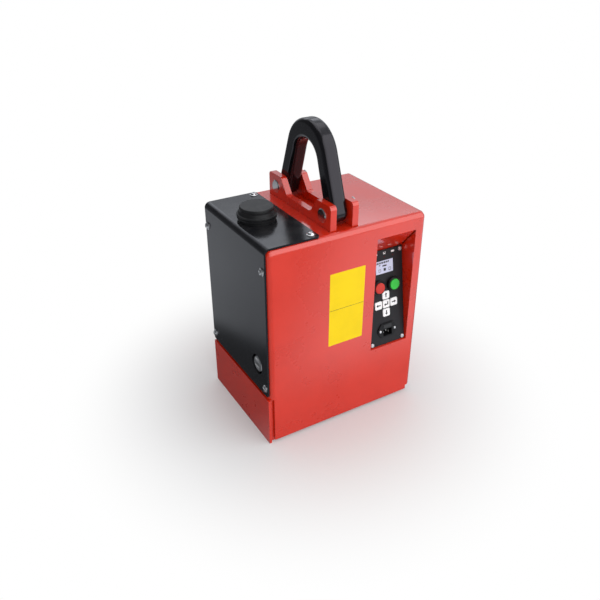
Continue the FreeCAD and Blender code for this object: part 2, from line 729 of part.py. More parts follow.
# The front cover is one folded sheet: its face, three rounded returns and the walls of the leaning recess,
# with the open seam left where the recess's ceiling meets its right-hand wall.
frontCover = newBody("front_cover")
pad(frontCover, "xz", front, front + s.coverFlange, rect(coverX0, half, s.frontFoot, s.housingTop))
roundEdges(frontCover, s.cornerR, [(x, cornerY, s.housingTop) for x in (coverX0, half)])
cut(frontCover, "xz", front + s.sheetGauge, front + s.coverFlange,
    roundRect(coverX0 + s.sheetGauge, half - s.sheetGauge, -s.frontFoot, topIn, s.cornerR - s.sheetGauge))
roundEdges(frontCover, s.bendR - s.sheetGauge, [(floorLevel, front + s.sheetGauge, topIn)])
roundEdges(frontCover, s.bendR, [(floorLevel, front, s.housingTop)])
cut(frontCover, "xz", front + s.frontFlange, front + s.coverFlange,
    rect(coverX0 + s.sheetGauge, half + s.sheetGauge, floorLevel, s.housingTop + s.sheetGauge))
backFoot = panelPoint(floorLevel, -s.panelGauge)
backHead = panelPoint(s.panelLong, -s.panelGauge)
skinFoot = panelPoint(-s.sheetGauge, -s.panelGauge - s.sheetGauge)
skinHead = panelPoint(s.panelLong + s.sheetGauge, -s.panelGauge - s.sheetGauge)
pad(frontCover, "yz", recessX0 - s.sheetGauge, recessX1 + s.sheetGauge,
    polygon((front + s.sheetGauge / 2, recessZ0 - s.sheetGauge), skinFoot, skinHead,
            (front + s.sheetGauge / 2, recessZ1 + s.sheetGauge)))
cut(frontCover, "yz", recessX0, recessX1,
    polygon((front - s.sheetGauge, recessZ0), (front, recessZ0), backFoot, backHead, (front, recessZ1),
            (front - s.sheetGauge, recessZ1)))
cut(frontCover, "panel", -s.panelGauge - 3 * s.sheetGauge, -s.panelGauge,
    rect(-s.panelWindowU, s.panelWindowU, s.panelWindowV, s.panelLong - s.panelWindowV))
screwTop = s.panelLong - s.panelScrewV
panelScrewSpots = [(side * s.panelScrewU, v) for side in (-1, 1) for v in (s.panelScrewV, screwTop)]
panelScrewHole = s.panelScrewDia / 2 + s.pinFit
cut(frontCover, "panel", -s.panelGauge - 3 * s.sheetGauge, -s.panelGauge,
    *[circle(u, v, panelScrewHole) for u, v in panelScrewSpots])
slitY0 = backHead[0] - s.slitStart
slitY1 = front + s.slitStop
slitX = recessX1 + 2 * s.sheetGauge
slitTop = 3 * s.sheetGauge
ceilingSlope = (recessZ1 - backHead[1]) / (front - backHead[0])


def ceilingAt(y, lift):
    return (y, backHead[1] + (y - backHead[0]) * ceilingSlope + lift)


cut(frontCover, "yz", recessX1 - s.slitWide, slitX,
    polygon(ceilingAt(slitY0, -s.slitWide), ceilingAt(slitY1, -s.slitWide), ceilingAt(slitY1, slitTop),
            ceilingAt(slitY0, slitTop)))
cut(frontCover, "yz", recessX1 - s.reliefDia / 2, slitX,
    circle(*ceilingAt(slitY0, floorLevel), s.reliefDia / 2))
cut(frontCover, "xz", front, front + s.coverFlange,
    rect(coverX0 - s.sheetGauge, coverX0 + s.notchWide, floorLevel, s.baseTall + s.seamGap),
    rect(half - s.notchRight, half + s.sheetGauge, floorLevel, s.rightFoot))
screwHoleR = s.screwDia / 2 + s.lugSlot
sideSpots = [(side * sideScrewY, z) for side in (-1, 1) for z in (sideScrewZ0, sideScrewZ1)]
cut(frontCover, "yz", coverX0, coverX0 + s.bendR, *[circle(y, z, screwHoleR) for y, z in sideSpots[:2]])

topFront = front + s.frontFlange + s.seamGap
topLeft = coverEdgeX - s.coverLip
housingPanel = newBody("top_side_panel")
pad(housingPanel, "xz", topFront, rear - s.sheetGauge,
    polygon((topLeft, topIn), (half - s.sheetGauge, topIn), (half - s.sheetGauge, s.rightFoot),
            (half, s.rightFoot), (half, s.housingTop), (topLeft, s.housingTop)))
roundEdges(housingPanel, s.bendR, [(half, floorLevel, s.housingTop)])
roundEdges(housingPanel, s.bendR - s.sheetGauge, [(half - s.sheetGauge, floorLevel, topIn)])
slotFront = topFront - s.sheetGauge
cut(housingPanel, "xy", topIn, s.housingTop,
    *[rect(liftX + a - s.lugSlot, liftX + b + s.lugSlot, slotFront, lugHalfY + s.lugSlot)
      for a, b in ((-lugOut, -lugIn), (lugIn, lugOut))])
cut(housingPanel, "xy", topIn, s.housingTop,
    *[circle(topScrewX, side * topScrewY, screwHoleR) for side in (-1, 1)])

backPanel = newBody("back_panel")
pad(backPanel, "xz", rear - s.sheetGauge, rear,
    rect(coverX0, half, s.baseTall + s.sheetGauge, s.housingTop))
pad(backPanel, "yz", coverX0, coverX0 + s.sheetGauge,
    rect(rear - s.coverFlange, rear - s.sheetGauge, coverFoot, s.housingTop - s.cornerR))
roundEdges(backPanel, s.bendR, [(x, rear - s.sheetGauge / 2, s.housingTop) for x in (coverX0, half)])
cut(backPanel, "yz", coverX0, coverX0 + s.sheetGauge,
    *[circle(y, z, screwHoleR) for y, z in sideSpots[2:]])

coverTop = s.housingTop + s.coverGauge
batteryCover = newBody("battery_cover")
pad(batteryCover, "xz", coverY0, coverY1,
    polygon((-half, coverFoot), (coverX0, coverFoot), (coverX0, s.housingTop), (coverEdgeX, s.housingTop),
            (coverEdgeX, coverTop), (-half, coverTop)))
roundEdges(batteryCover, s.bendR, [(-half, floorLevel, coverTop)])
roundEdges(batteryCover, s.bendR - s.coverGauge, [(coverX0, floorLevel, s.housingTop)])
roundEdges(batteryCover, s.coverCornerR,
           [(coverEdgeX, y, coverTop - s.coverGauge / 2) for y in (coverY0, coverY1)]
           + [(coverX0 - s.coverGauge / 2, y, coverFoot) for y in (coverY0, coverY1)])
ventHole = s.neckR + s.lugSlot
cut(batteryCover, "yz", -half, coverX0, circle(knobY, knobZ, s.holeDia / 2),
    *[circle(y, z, screwHoleR) for y, z in sideSpots])
cut(batteryCover, "xy", s.housingTop, coverTop, circle(ventX, floorLevel, ventHole),
    *[circle(topScrewX, side * topScrewY, screwHoleR) for side in (-1, 1)])
keep(frontCover, housingPanel, backPanel, batteryCover)

# Tapped strips inside the housing's left edges, one behind each row of side screws

stripX0 = coverX0 + s.sheetGauge
stripX1 = stripX0 + s.stripThick
stripTop = s.housingTop - 2 * s.cornerR
tapR = s.screwDia / 2 + s.pinFit
strips = newBody("cover_strips", several=True)
pad(strips, "xy", coverFoot, stripTop,
    rect(stripX0, stripX1, plateFront, plateFront + s.stripWide),
    rect(stripX0, stripX1, plateRear - s.stripWide, plateRear))
roundEdges(strips, s.bendR - s.seamGap,
           [(stripX0, y, (coverFoot + stripTop) / 2) for y in (plateFront, plateRear)])
cut(strips, "yz", stripX0, stripX1, *[circle(y, z, tapR) for y, z in sideSpots])
keep(strips)

# Cover screws with flanged button heads, and the nuts welded under the top panel

screwMaster = newBody("cover_screw_master")
headR = s.screwHead / 2
screwR = s.screwDia / 2
screwTip = screwR - s.pinChamfer
# flange and dome of the head, as shares of its radius and height
headShares = ((1, 0), (1, 0.2), (0.84, 0.32), (0.74, 0.62), (0.56, 0.88), (0.36, 1), (0, 1))
spin(screwMaster, polygon((floorLevel, -s.screwLong), (screwTip, -s.screwLong),
                          (screwR, s.pinChamfer - s.screwLong), (screwR, floorLevel),
                          *[(headR * a, s.screwHeadTall * b) for a, b in headShares]))
cut(screwMaster, "xy", s.screwHeadTall * 0.35, s.screwHeadTall, hexagon(s.screwDia * 0.34))
screws = copies("cover_screws", screwMaster,
                [(-half, y, z, (0, 1, 0), -90) for y, z in sideSpots]
                + [(topScrewX, side * topScrewY, coverTop, (0, 0, 1), 0) for side in (-1, 1)])
nutMaster = newBody("weld_nut_master")
pad(nutMaster, "xy", floorLevel, s.screwDia * 0.8, hexagon(s.screwDia * 0.94),
    circle(floorLevel, floorLevel, tapR))
nuts = copies("weld_nuts", nutMaster,
              [(topScrewX, side * topScrewY, topIn, (1, 0, 0), 180) for side in (-1, 1)])
keep(screws, nuts)

# Vent: neck through the battery cover, seal on the neck, cap that turns on it

neck = newBody("vent_neck")
neckFoot = s.housingTop - s.neckDown
neckTop = ventTop - s.neckHead
neckIn = s.neckR - s.neckWall
flangeR = s.neckR + s.neckFlange
flangeTop = coverTop + s.neckFlangeTall
spin(neck, polygon((neckIn, neckFoot), (s.neckR, neckFoot), (s.neckR, coverTop), (flangeR, coverTop),
                   (flangeR, flangeTop), (s.neckR, flangeTop), (s.neckR, neckTop), (neckIn, neckTop)))
stand(neck, ventX, floorLevel, floorLevel)
seal = newBody("vent_seal")
sealTop = neckTop + s.sealGauge
spin(seal, rect(neckIn, s.neckR, neckTop, sealTop))
stand(seal, ventX, floorLevel, floorLevel)
cap = newBody("vent_cap")
capFoot = flangeTop + s.fitGap
capIn = s.neckR + s.fitGap
capRoof = sealTop + s.fitGap
rimFoot = ventTop - s.capRim
# the two lips: how far in from the lip radius and how high, as shares of their height
lipShares = ((0.08, 0), (0.08, 0.33), (0.27, 0.39), (0.27, 0.47),
             (0, 0.55), (0, 0.82), (0.1, 0.92), (0.29, 1))
lips = [(s.ventLipR - a * s.lipTall, capFoot + b * s.lipTall) for a, b in lipShares]
# the groove under the rim: how far out and how far down, as shares of its size
grooveShares = ((0.8, 2.2), (-0.7, 1.5), (-0.7, 0.7), (0.3, 0))
groove = [(s.ventTopR + a * s.capGroove, rimFoot - b * s.capGroove) for a, b in grooveShares]
spin(cap, polygon((capIn, capFoot), *lips, *groove, (s.ventTopR, ventTop - s.capEdge),
                  (s.ventTopR - s.capEdge, ventTop), (floorLevel, ventTop), (floorLevel, capRoof),
                  (capIn, capRoof)))
stand(cap, ventX, floorLevel, floorLevel)
keep(neck, seal, cap)

# Battery isolator behind the round hole

knobFace = -half + s.knobSet
knobBack = knobFace + s.knobTall
bodyFace = knobBack + s.isolatorGap
isoBack = bodyFace + s.isolatorDeep
knobR = s.knobDia / 2
shaftR = s.knobDia * 0.14
isoHalf = knobR + s.isolatorEdge
isolator = newBody("isolator_body")
pad(isolator, "yz", bodyFace, isoBack,
    rect(knobY - isoHalf, knobY + isoHalf, knobZ - isoHalf, knobZ + isoHalf))
cut(isolator, "yz", bodyFace, bodyFace + s.shaftLong, circle(knobY, knobZ, shaftR + s.fitGap))
knob = newBody("isolator_knob")
gripHalf = s.knobDia * 0.13
gripLong = knobR * 0.62
gripEnd = knobR * 0.72
spin(knob, polygon((floorLevel, floorLevel), (knobR, floorLevel), (knobR, s.knobTall - s.knobEdge),
                   (knobR - s.knobEdge, s.knobTall), (floorLevel, s.knobTall)))
cut(knob, "xy", s.knobTall - s.gripDeep, s.knobTall,
    *[rect(side * gripHalf, side * gripEnd, -gripLong, gripLong) for side in (-1, 1)])
pad(knob, "xy", -s.shaftLong, floorLevel, circle(floorLevel, floorLevel, shaftR))
stand(knob, knobBack, knobY, knobZ, (0, 1, 0), -90)
bracket = newBody("isolator_bracket")
bracketY0 = knobY - isoHalf - s.bracketEdge
bracketY1 = knobY + isoHalf
pad(bracket, "yz", isoBack, isoBack + s.rackGauge, rect(bracketY0, bracketY1, s.baseTall, knobZ + isoHalf))
pad(bracket, "xy", s.baseTall, s.baseTall + s.rackGauge,
    rect(isoBack - s.bracketFoot, isoBack, bracketY0, bracketY1))
keep(isolator, knob, bracket)

# Control panel, leaning back in the recess

panelHalf = (recessX1 - recessX0) / 2 - s.panelGap
displayU = s.displayWide / 2
displayReach = s.displayTall / 2
lampSpots = [(k * s.lampStep, lampV) for k in (-1, 0, 1)]
buttonSpots = [(side * s.buttonU, buttonV) for side in (-1, 1)]
keySpots = {"key_up": (floorLevel, keyV + s.keyStep), "key_down": (floorLevel, keyV - s.keyStep),
            "key_left": (-s.keyStep, keyV), "key_right": (s.keyStep, keyV), "key_enter": (floorLevel, keyV)}
inletBodyU = s.socketU + s.inletWall
inletBodyV = s.inletHalfV - s.inletWall / 2
inletScrewR = s.inletScrewDia / 2
inletScrewSpots = [(side * s.inletScrewU, inletV) for side in (-1, 1)]


def keyOutline(spot, gap):
    reach = s.keySide / 2 + gap
    return roundRect(spot[0] - reach, spot[0] + reach, spot[1] - reach, spot[1] + reach, s.keyR + gap)


def displayBox(gap):
    return rect(-displayU - gap, displayU + gap, displayV - displayReach - gap, displayV + displayReach + gap)


def inletBox(u, low, high, gap):
    return rect(-u - gap, u + gap, inletV + low - gap, inletV + high + gap)


panel = newBody("control_panel")
pad(panel, "panel", -s.panelGauge, floorLevel, rect(-panelHalf, panelHalf, floorLevel, s.panelLong))
cut(panel, "panel", -s.panelGauge, floorLevel,
    displayBox(s.pinFit), inletBox(inletBodyU, -inletBodyV, inletBodyV, s.pinFit),
    *[circle(u, v, s.lampDia / 2 + s.pinFit) for u, v in lampSpots],
    *[circle(u, v, s.sleeveDia / 2 + s.pinFit) for u, v in buttonSpots],
    *[circle(u, v, panelScrewHole) for u, v in panelScrewSpots],
    *[circle(u, v, inletScrewR + s.pinFit) for u, v in inletScrewSpots],
    *[keyOutline(spot, s.fitGap) for spot in keySpots.values()])

panelScrewMaster = newBody("panel_screw_master")
panelScrewR = s.panelScrewDia / 2
panelHeadR = panelScrewR * 1.9
panelHead = s.panelHeadTall
spin(panelScrewMaster, polygon((floorLevel, -s.panelScrewLong), (panelScrewR, -s.panelScrewLong),
                               (panelScrewR, floorLevel), (panelHeadR, floorLevel),
                               (panelHeadR, panelHead * 0.45), (panelHeadR * 0.8, panelHead * 0.87),
                               (floorLevel, panelHead)))
crossArm = panelHeadR * 0.55
for a, b in ((crossArm, s.crossHalf), (s.crossHalf, crossArm)):
    cut(panelScrewMaster, "xy", panelHead * 0.4, panelHead, rect(-a, a, -b, b))


def onPanel(u, v, out):
    y, z = panelPoint(v, out)
    return (panelX + u, y, z, (1, 0, 0), 90 - s.panelTilt)


panelScrews = copies("panel_screws", panelScrewMaster,
                     [onPanel(u, v, floorLevel) for u, v in panelScrewSpots])

window = newBody("display_window")
pad(window, "panel", -s.panelGauge, -s.pinFit, displayBox(floorLevel))
module = newBody("display_module")
pad(module, "panel", -s.moduleBack, -s.panelGauge,
    rect(-s.moduleWide / 2, s.moduleWide / 2, displayV - s.moduleTall / 2, displayV + s.moduleTall / 2))
lamps = newBody("status_lamps", several=True)
pad(lamps, "panel", -s.lampBack, s.lampTop, *[circle(u, v, s.lampDia / 2) for u, v in lampSpots])
keep(panel, panelScrews, window, module, lamps)

# Push buttons: collars with sleeves, the buttons that slide in them and the contact blocks behind

collarFloor = s.buttonTop - s.buttonThick - s.collarWell
boreR = s.stemDia / 2 + s.fitGap
collars = newBody("button_collars", several=True)
wellR = s.buttonDia / 2 + s.fitGap
pad(collars, "panel", floorLevel, s.collarTall, *[circle(u, v, s.collarDia / 2) for u, v in buttonSpots])
pad(collars, "panel", -s.sleeveLong, floorLevel, *[circle(u, v, s.sleeveDia / 2) for u, v in buttonSpots])
cut(collars, "panel", collarFloor, s.collarTall, *[circle(u, v, wellR) for u, v in buttonSpots])
cut(collars, "panel", -s.sleeveLong, s.collarTall, *[circle(u, v, boreR) for u, v in buttonSpots])
rims = []
for u, v in buttonSpots:
    rimY, rimZ = panelPoint(v + s.collarDia / 2, s.collarTall)
    rims.append((panelX + u, rimY, rimZ))
roundEdges(collars, s.collarChamfer, rims, "PartDesign::Chamfer")


def button(name, spot):
    body = newBody(name)
    pad(body, "panel", s.buttonTop - s.buttonThick, s.buttonTop, circle(spot[0], spot[1], s.buttonDia / 2))
    pad(body, "panel", -s.stemBack, s.buttonTop - s.buttonThick, circle(spot[0], spot[1], s.stemDia / 2))
    y, z = panelPoint(spot[1] + s.buttonDia / 2, s.buttonTop)
    roundEdges(body, s.buttonThick / 5, [(panelX + spot[0], y, z)])
    return body


redButton = button("red_button", buttonSpots[0])
greenButton = button("green_button", buttonSpots[1])
contacts = newBody("contact_blocks", several=True)
reach = s.contactSide / 2
pad(contacts, "panel", -s.contactBack, -s.sleeveLong,
    *[rect(u - reach, u + reach, v - reach, v + reach) for u, v in buttonSpots])
cut(contacts, "panel", -s.sleeveLong - s.contactWell, -s.sleeveLong,
    *[circle(u, v, boreR) for u, v in buttonSpots])
keep(collars, redButton, greenButton, contacts)

# Keys and the board behind them

for name, spot in keySpots.items():
    key = newBody(name)
    pad(key, "panel", -s.keyBack, s.keyTop, keyOutline(spot, floorLevel))
    keep(key)
keyBoard = newBody("key_board")
boardBack = -s.boardBack - s.boardGauge
pad(keyBoard, "panel", boardBack, -s.boardBack,
    rect(-s.boardHalfU, s.boardHalfU, keyV - s.boardHalfV, keyV + s.boardHalfV))
switchTop = -s.keyBack - s.keyTravel - s.seamGap / 5
pad(keyBoard, "panel", -s.boardBack, switchTop, *[circle(u, v, s.keyR) for u, v in keySpots.values()])
postU = s.boardHalfU - s.keyR
postV = s.boardHalfV - s.keyR
pad(keyBoard, "panel", -s.boardBack, -s.panelGauge,
    *[circle(i * postU, keyV + j * postV, s.keyR * 0.8) for i in (-1, 1) for j in (-1, 1)])
keep(keyBoard)

# Mains inlet with its contacts, screws and fuse drawer

inlet = newBody("mains_inlet")
flatU = s.inletHalfU * 0.63
sideV = s.inletHalfV * 0.25
pad(inlet, "panel", floorLevel, s.inletGauge,
    polygon((-s.inletHalfU, inletV - sideV), (-flatU, inletV - s.inletHalfV), (flatU, inletV - s.inletHalfV),
            (s.inletHalfU, inletV - sideV), (s.inletHalfU, inletV + sideV), (flatU, inletV + s.inletHalfV),
            (-flatU, inletV + s.inletHalfV), (-s.inletHalfU, inletV + sideV)))
pad(inlet, "panel", -s.inletDeep, floorLevel, inletBox(inletBodyU, -inletBodyV, inletBodyV, floorLevel))
cut(inlet, "panel", -s.socketDeep, s.inletGauge, inletBox(s.socketU, s.socketV0, s.socketV1, floorLevel))
drawerBack = -s.drawerDeep - s.fitGap
cut(inlet, "panel", drawerBack, s.inletGauge, inletBox(s.drawerU, s.drawerV0, s.drawerV1, s.fitGap))
cut(inlet, "panel", floorLevel, s.inletGauge,
    *[circle(u, v, inletScrewR + s.pinFit) for u, v in inletScrewSpots])

blades = newBody("inlet_contacts", several=True)
bladeU = s.socketU * 0.58
bladeV = inletV + (s.socketV0 + s.socketV1) / 2
bladeReach = s.bladeGauge / 2
bladeHalf = s.bladeWide / 2
bladeSpots = ((-bladeU, bladeV - bladeHalf), (floorLevel, bladeV + bladeHalf), (bladeU, bladeV - bladeHalf))
pad(blades, "panel", -s.socketDeep, -s.socketDeep / 4,
    *[rect(u - bladeReach, u + bladeReach, v - bladeHalf, v + bladeHalf) for u, v in bladeSpots])

inletScrewMaster = newBody("inlet_screw_master")
inletHead = s.inletHeadTall
spin(inletScrewMaster, polygon((floorLevel, -s.inletScrewLong), (inletScrewR, -s.inletScrewLong),
                               (inletScrewR, floorLevel), (inletScrewR * 2, floorLevel),
                               (inletScrewR * 2, inletHead * 0.5), (inletScrewR * 1.4, inletHead * 0.9),
                               (floorLevel, inletHead)))
cut(inletScrewMaster, "xy", inletHead * 0.45, inletHead,
    rect(-inletScrewR * 1.2, inletScrewR * 1.2, -s.crossHalf, s.crossHalf))
inletScrews = copies("inlet_screws", inletScrewMaster,
                     [onPanel(u, v, s.inletGauge) for u, v in inletScrewSpots])

drawer = newBody("fuse_drawer")
drawerFace = s.inletGauge + s.drawerTop
pad(drawer, "panel", -s.drawerDeep, drawerFace, inletBox(s.drawerU, s.drawerV0, s.drawerV1, floorLevel))
fuseR = s.fuseDia / 2
fuseHalf = s.drawerU - s.fuseWall
fuseV = s.drawerV0 + fuseR + s.fuseWall
fuseOut = -s.drawerDeep + fuseR + s.fuseSet
fuseRoom = fuseR + s.fuseGap
nestU = fuseHalf + s.fuseGap
cut(drawer, "panel", fuseOut - fuseRoom, fuseOut + fuseRoom,
    rect(-nestU, nestU, inletV + s.drawerV0 - s.fuseGap, inletV + fuseV + fuseRoom))
fuse = newBody("mains_fuse")
fuseY, fuseZ = panelPoint(inletV + fuseV, fuseOut)
pad(fuse, "yz", panelX - fuseHalf, panelX + fuseHalf, circle(fuseY, fuseZ, fuseR))
keep(inlet, blades, inletScrews, drawer, fuse)

# Inside the housing: two batteries in their rack, charger, contactor and control board

batteryX0 = s.batterySet - half
batteryX1 = liftX - lugOut - s.batteryGap
batteryY0 = front + s.batteryFront
batteryY1 = rear - s.batteryRear
batteryTall = (s.housingTop - s.baseTall - s.batteryRoom) / 2 - s.rackGauge
shelfFoot = s.baseTall + s.rackGauge + batteryTall
shelfTop = shelfFoot + s.rackGauge
rackX = liftX - lugOut
rackIn = rackX - s.rackGauge
trayTop = s.baseTall + s.rackGauge
rack = newBody("battery_rack")
pad(rack, "xz", batteryY0, batteryY1,
    polygon((batteryX0, s.baseTall), (rackX, s.baseTall), (rackX, shelfTop), (batteryX0, shelfTop),
            (batteryX0, shelfFoot), (rackIn, shelfFoot), (rackIn, trayTop), (batteryX0, trayTop)))
batteryMaster = newBody("battery_master")
batteryWide = batteryX1 - batteryX0
batteryDeep = batteryY1 - batteryY0
pad(batteryMaster, "xy", floorLevel, batteryTall, rect(floorLevel, batteryWide, floorLevel, batteryDeep))
postInset = batteryWide / 6
postZ = batteryTall - postInset
pad(batteryMaster, "xz", -s.postTall, floorLevel,
    *[circle(x, postZ, s.postTall) for x in (postInset, batteryWide - postInset)])
batteries = copies("batteries", batteryMaster,
                   [(batteryX0, batteryY0, z, (0, 0, 1), 0) for z in (trayTop, shelfTop)])
strap = newBody("battery_strap")
strapY = (batteryY0 + batteryY1) / 2
strapX0 = batteryX0 - s.strapGauge
strapX1 = batteryX1 + s.strapGauge
batteryHead = shelfTop + batteryTall
strapTop = batteryHead + s.strapGauge
pad(strap, "xz", strapY - s.strapWide / 2, strapY + s.strapWide / 2,
    polygon((strapX0, shelfFoot), (batteryX0, shelfFoot), (batteryX0, batteryHead), (batteryX1, batteryHead),
            (batteryX1, shelfTop), (strapX1, shelfTop), (strapX1, strapTop), (strapX0, strapTop)))

lugFace = liftX + lugOut
charger = newBody("charger_unit")
chargerX0 = lugFace + s.chargerGap
chargerX1 = half - s.chargerRear
chargerY = (front + s.chargerFront, rear - s.chargerRear)
chargerTop = s.baseTall + s.chargerTall
pad(charger, "xy", s.baseTall, chargerTop, rect(chargerX0, chargerX1, chargerY[0], chargerY[1]))
finCount = int((chargerX1 - chargerX0) / s.finStep)
finSpots = [chargerX0 + s.finWide + k * s.finStep for k in range(finCount)]
cut(charger, "xz", chargerY[0], chargerY[1],
    *[rect(x, x + s.finWide, chargerTop - s.finDeep, chargerTop) for x in finSpots])
contactorY = rear - s.contactorRear
contactorZ = chargerTop + s.contactorLift
contactor = block("contactor", lugFace, lugFace + s.contactorDeep, contactorY - s.contactorSide, contactorY,
                  contactorZ, contactorZ + s.contactorSide)
board = newBody("control_board")
boardX0 = lugFace + s.controlStand
boardX1 = boardX0 + s.boardGauge
boardY = (rear - s.controlRear - s.controlSide, rear - s.controlRear)
boardZ = (s.housingTop - s.controlDown - s.controlSide, s.housingTop - s.controlDown)
standInset = s.controlSide / 20
canR = s.controlSide / 10
pad(board, "yz", boardX0, boardX1, rect(boardY[0], boardY[1], boardZ[0], boardZ[1]))
standSpots = [(y, z) for y in (boardY[0] + standInset, boardY[1] - standInset)
              for z in (boardZ[0] + standInset, boardZ[1] - standInset)]
pad(board, "yz", lugFace, boardX0, *[circle(y, z, standInset / 2) for y, z in standSpots])
coverInset = 2 * standInset
coverSide = s.controlSide / 2
pad(board, "yz", boardX1, boardX1 + s.controlTall,
    rect(boardY[0] + coverInset, boardY[0] + coverSide, boardZ[0] + coverInset, boardZ[0] + coverSide),
    *[circle(boardY[1] - 2 * canR, boardZ[0] + k * canR, canR * 0.9) for k in (2, 5)])
keep(rack, batteries, strap, charger, contactor, board)

# Write every node, after a check of each object

os.makedirs("parts", exist_ok=True)
doc.recompute()
for item in doc.Objects:
    if "Invalid" in item.State or "Error" in item.State:
        raise RuntimeError("%s is %s" % (item.Label, item.State))
for item in nodes:
    if item.Shape.isNull() or not item.Shape.isValid():
        raise RuntimeError("%s has no valid shape" % item.Label)
    item.Shape.exportStep("parts/%s.step" % item.Label)
    print(item.Label, len(item.Shape.Solids), round(item.Shape.Volume), item.Shape.BoundBox)
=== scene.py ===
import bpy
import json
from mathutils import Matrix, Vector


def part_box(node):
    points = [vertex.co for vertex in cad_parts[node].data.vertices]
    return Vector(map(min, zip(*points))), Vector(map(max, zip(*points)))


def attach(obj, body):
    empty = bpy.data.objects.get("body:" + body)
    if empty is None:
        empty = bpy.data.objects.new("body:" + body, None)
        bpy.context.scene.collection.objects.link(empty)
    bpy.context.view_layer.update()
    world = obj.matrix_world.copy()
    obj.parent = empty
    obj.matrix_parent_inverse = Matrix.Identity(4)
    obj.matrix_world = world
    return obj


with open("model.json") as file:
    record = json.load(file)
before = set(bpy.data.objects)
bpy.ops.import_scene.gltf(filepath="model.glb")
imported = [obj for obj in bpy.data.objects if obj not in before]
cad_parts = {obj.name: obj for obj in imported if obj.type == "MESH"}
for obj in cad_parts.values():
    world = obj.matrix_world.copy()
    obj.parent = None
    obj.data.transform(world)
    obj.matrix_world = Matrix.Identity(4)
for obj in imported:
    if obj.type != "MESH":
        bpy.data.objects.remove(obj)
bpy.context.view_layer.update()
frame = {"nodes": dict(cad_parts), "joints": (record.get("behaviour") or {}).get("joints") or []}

import bmesh
import bpy
import json
import math
from mathutils import Vector

mm = 0.001
scene = bpy.context.scene
print("frame loaded:", len(frame["nodes"]), "nodes")


# helpers for node trees

def addNode(tree, kind, **values):
    node = tree.nodes.new(kind)
    for key, value in values.items():
        setattr(node, key, value)
    return node


def wire(tree, source, target):
    tree.links.new(source, target)


def feed(tree, socket, value):
    # another node's socket is linked, a number is set
    if hasattr(value, "is_linked"):
        wire(tree, value, socket)
    else:
        socket.default_value = value


def mathNode(tree, operation, first, second, clamp=False):
    node = addNode(tree, "ShaderNodeMath", operation=operation, use_clamp=clamp)
    feed(tree, node.inputs[0], first)
    feed(tree, node.inputs[1], second)
    return node.outputs[0]


def times(tree, first, second, clamp=False):
    return mathNode(tree, "MULTIPLY", first, second, clamp)


def spread(tree, value, span, toLow=0.0, toHigh=1.0):
    # a smooth step from toLow to toHigh, while value crosses the span
    node = addNode(tree, "ShaderNodeMapRange", interpolation_type="SMOOTHSTEP")
    wire(tree, value, node.inputs["Value"])
    for key, number in (("From Min", span[0]), ("From Max", span[1]), ("To Min", toLow), ("To Max", toHigh)):
        feed(tree, node.inputs[key], number)
    return node.outputs["Result"]


def noiseAt(tree, vector, scale, detail, rough=0.55):
    node = addNode(tree, "ShaderNodeTexNoise")
    wire(tree, vector, node.inputs["Vector"])
    feed(tree, node.inputs["Scale"], scale)
    node.inputs["Detail"].default_value = detail
    node.inputs["Roughness"].default_value = rough
    return node.outputs["Fac"]


def objectCoords(tree):
    return addNode(tree, "ShaderNodeTexCoord").outputs["Object"]


def mixColour(tree, mask, below, above):
    node = addNode(tree, "ShaderNodeMix", data_type="RGBA")
    wire(tree, mask, node.inputs["Factor"])
    for name, value in (("A", below), ("B", above)):
        socket = [s for s in node.inputs if s.name == name and s.type == "RGBA"][0]
        feed(tree, socket, (*value, 1.0) if isinstance(value, tuple) else value)
    return [s for s in node.outputs if s.type == "RGBA"][0]


def newGroup(name, inputs, outputs):
    group = bpy.data.node_groups.new(name, "ShaderNodeTree")
    for label, value in inputs.items():
        socket = group.interface.new_socket(name=label, in_out="INPUT", socket_type="NodeSocketFloat")
        socket.default_value = value
    for label in outputs:
        group.interface.new_socket(name=label, in_out="OUTPUT", socket_type="NodeSocketFloat")
    return group, addNode(group, "NodeGroupInput"), addNode(group, "NodeGroupOutput")


def useGroup(tree, group, **values):
    node = addNode(tree, "ShaderNodeGroup", node_tree=group)
    for key, value in values.items():
        node.inputs[key].default_value = value
    return node


# effects shared by the finishes

peelLook = {"scale": 900.0, "blotch": 9.0, "fineDetail": 2.0, "patchDetail": 5.0, "patchRough": 0.6,
            "patchSpan": (0.3, 0.7)}


def makeSprayPeel():
    # the slight orange peel of sprayed or powder-coated paint, and broad uneven patches
    inputs = {"Scale": peelLook["scale"], "Blotch": peelLook["blotch"]}
    group, given, out = newGroup("sprayPeel", inputs, ["Height", "Patch"])
    coords = objectCoords(group)
    fine = noiseAt(group, coords, given.outputs["Scale"], peelLook["fineDetail"])
    patch = noiseAt(group, coords, given.outputs["Blotch"], peelLook["patchDetail"], peelLook["patchRough"])
    wire(group, fine, out.inputs["Height"])
    wire(group, spread(group, patch, peelLook["patchSpan"]), out.inputs["Patch"])
    return group


wearLook = {"radius": 0.0012, "amount": 0.5, "samples": 4, "edgeSpan": (0.995, 0.86), "brokenScale": 140.0,
            "brokenDetail": 6.0, "brokenRough": 0.65, "brokenSpan": (0.52, 0.68)}


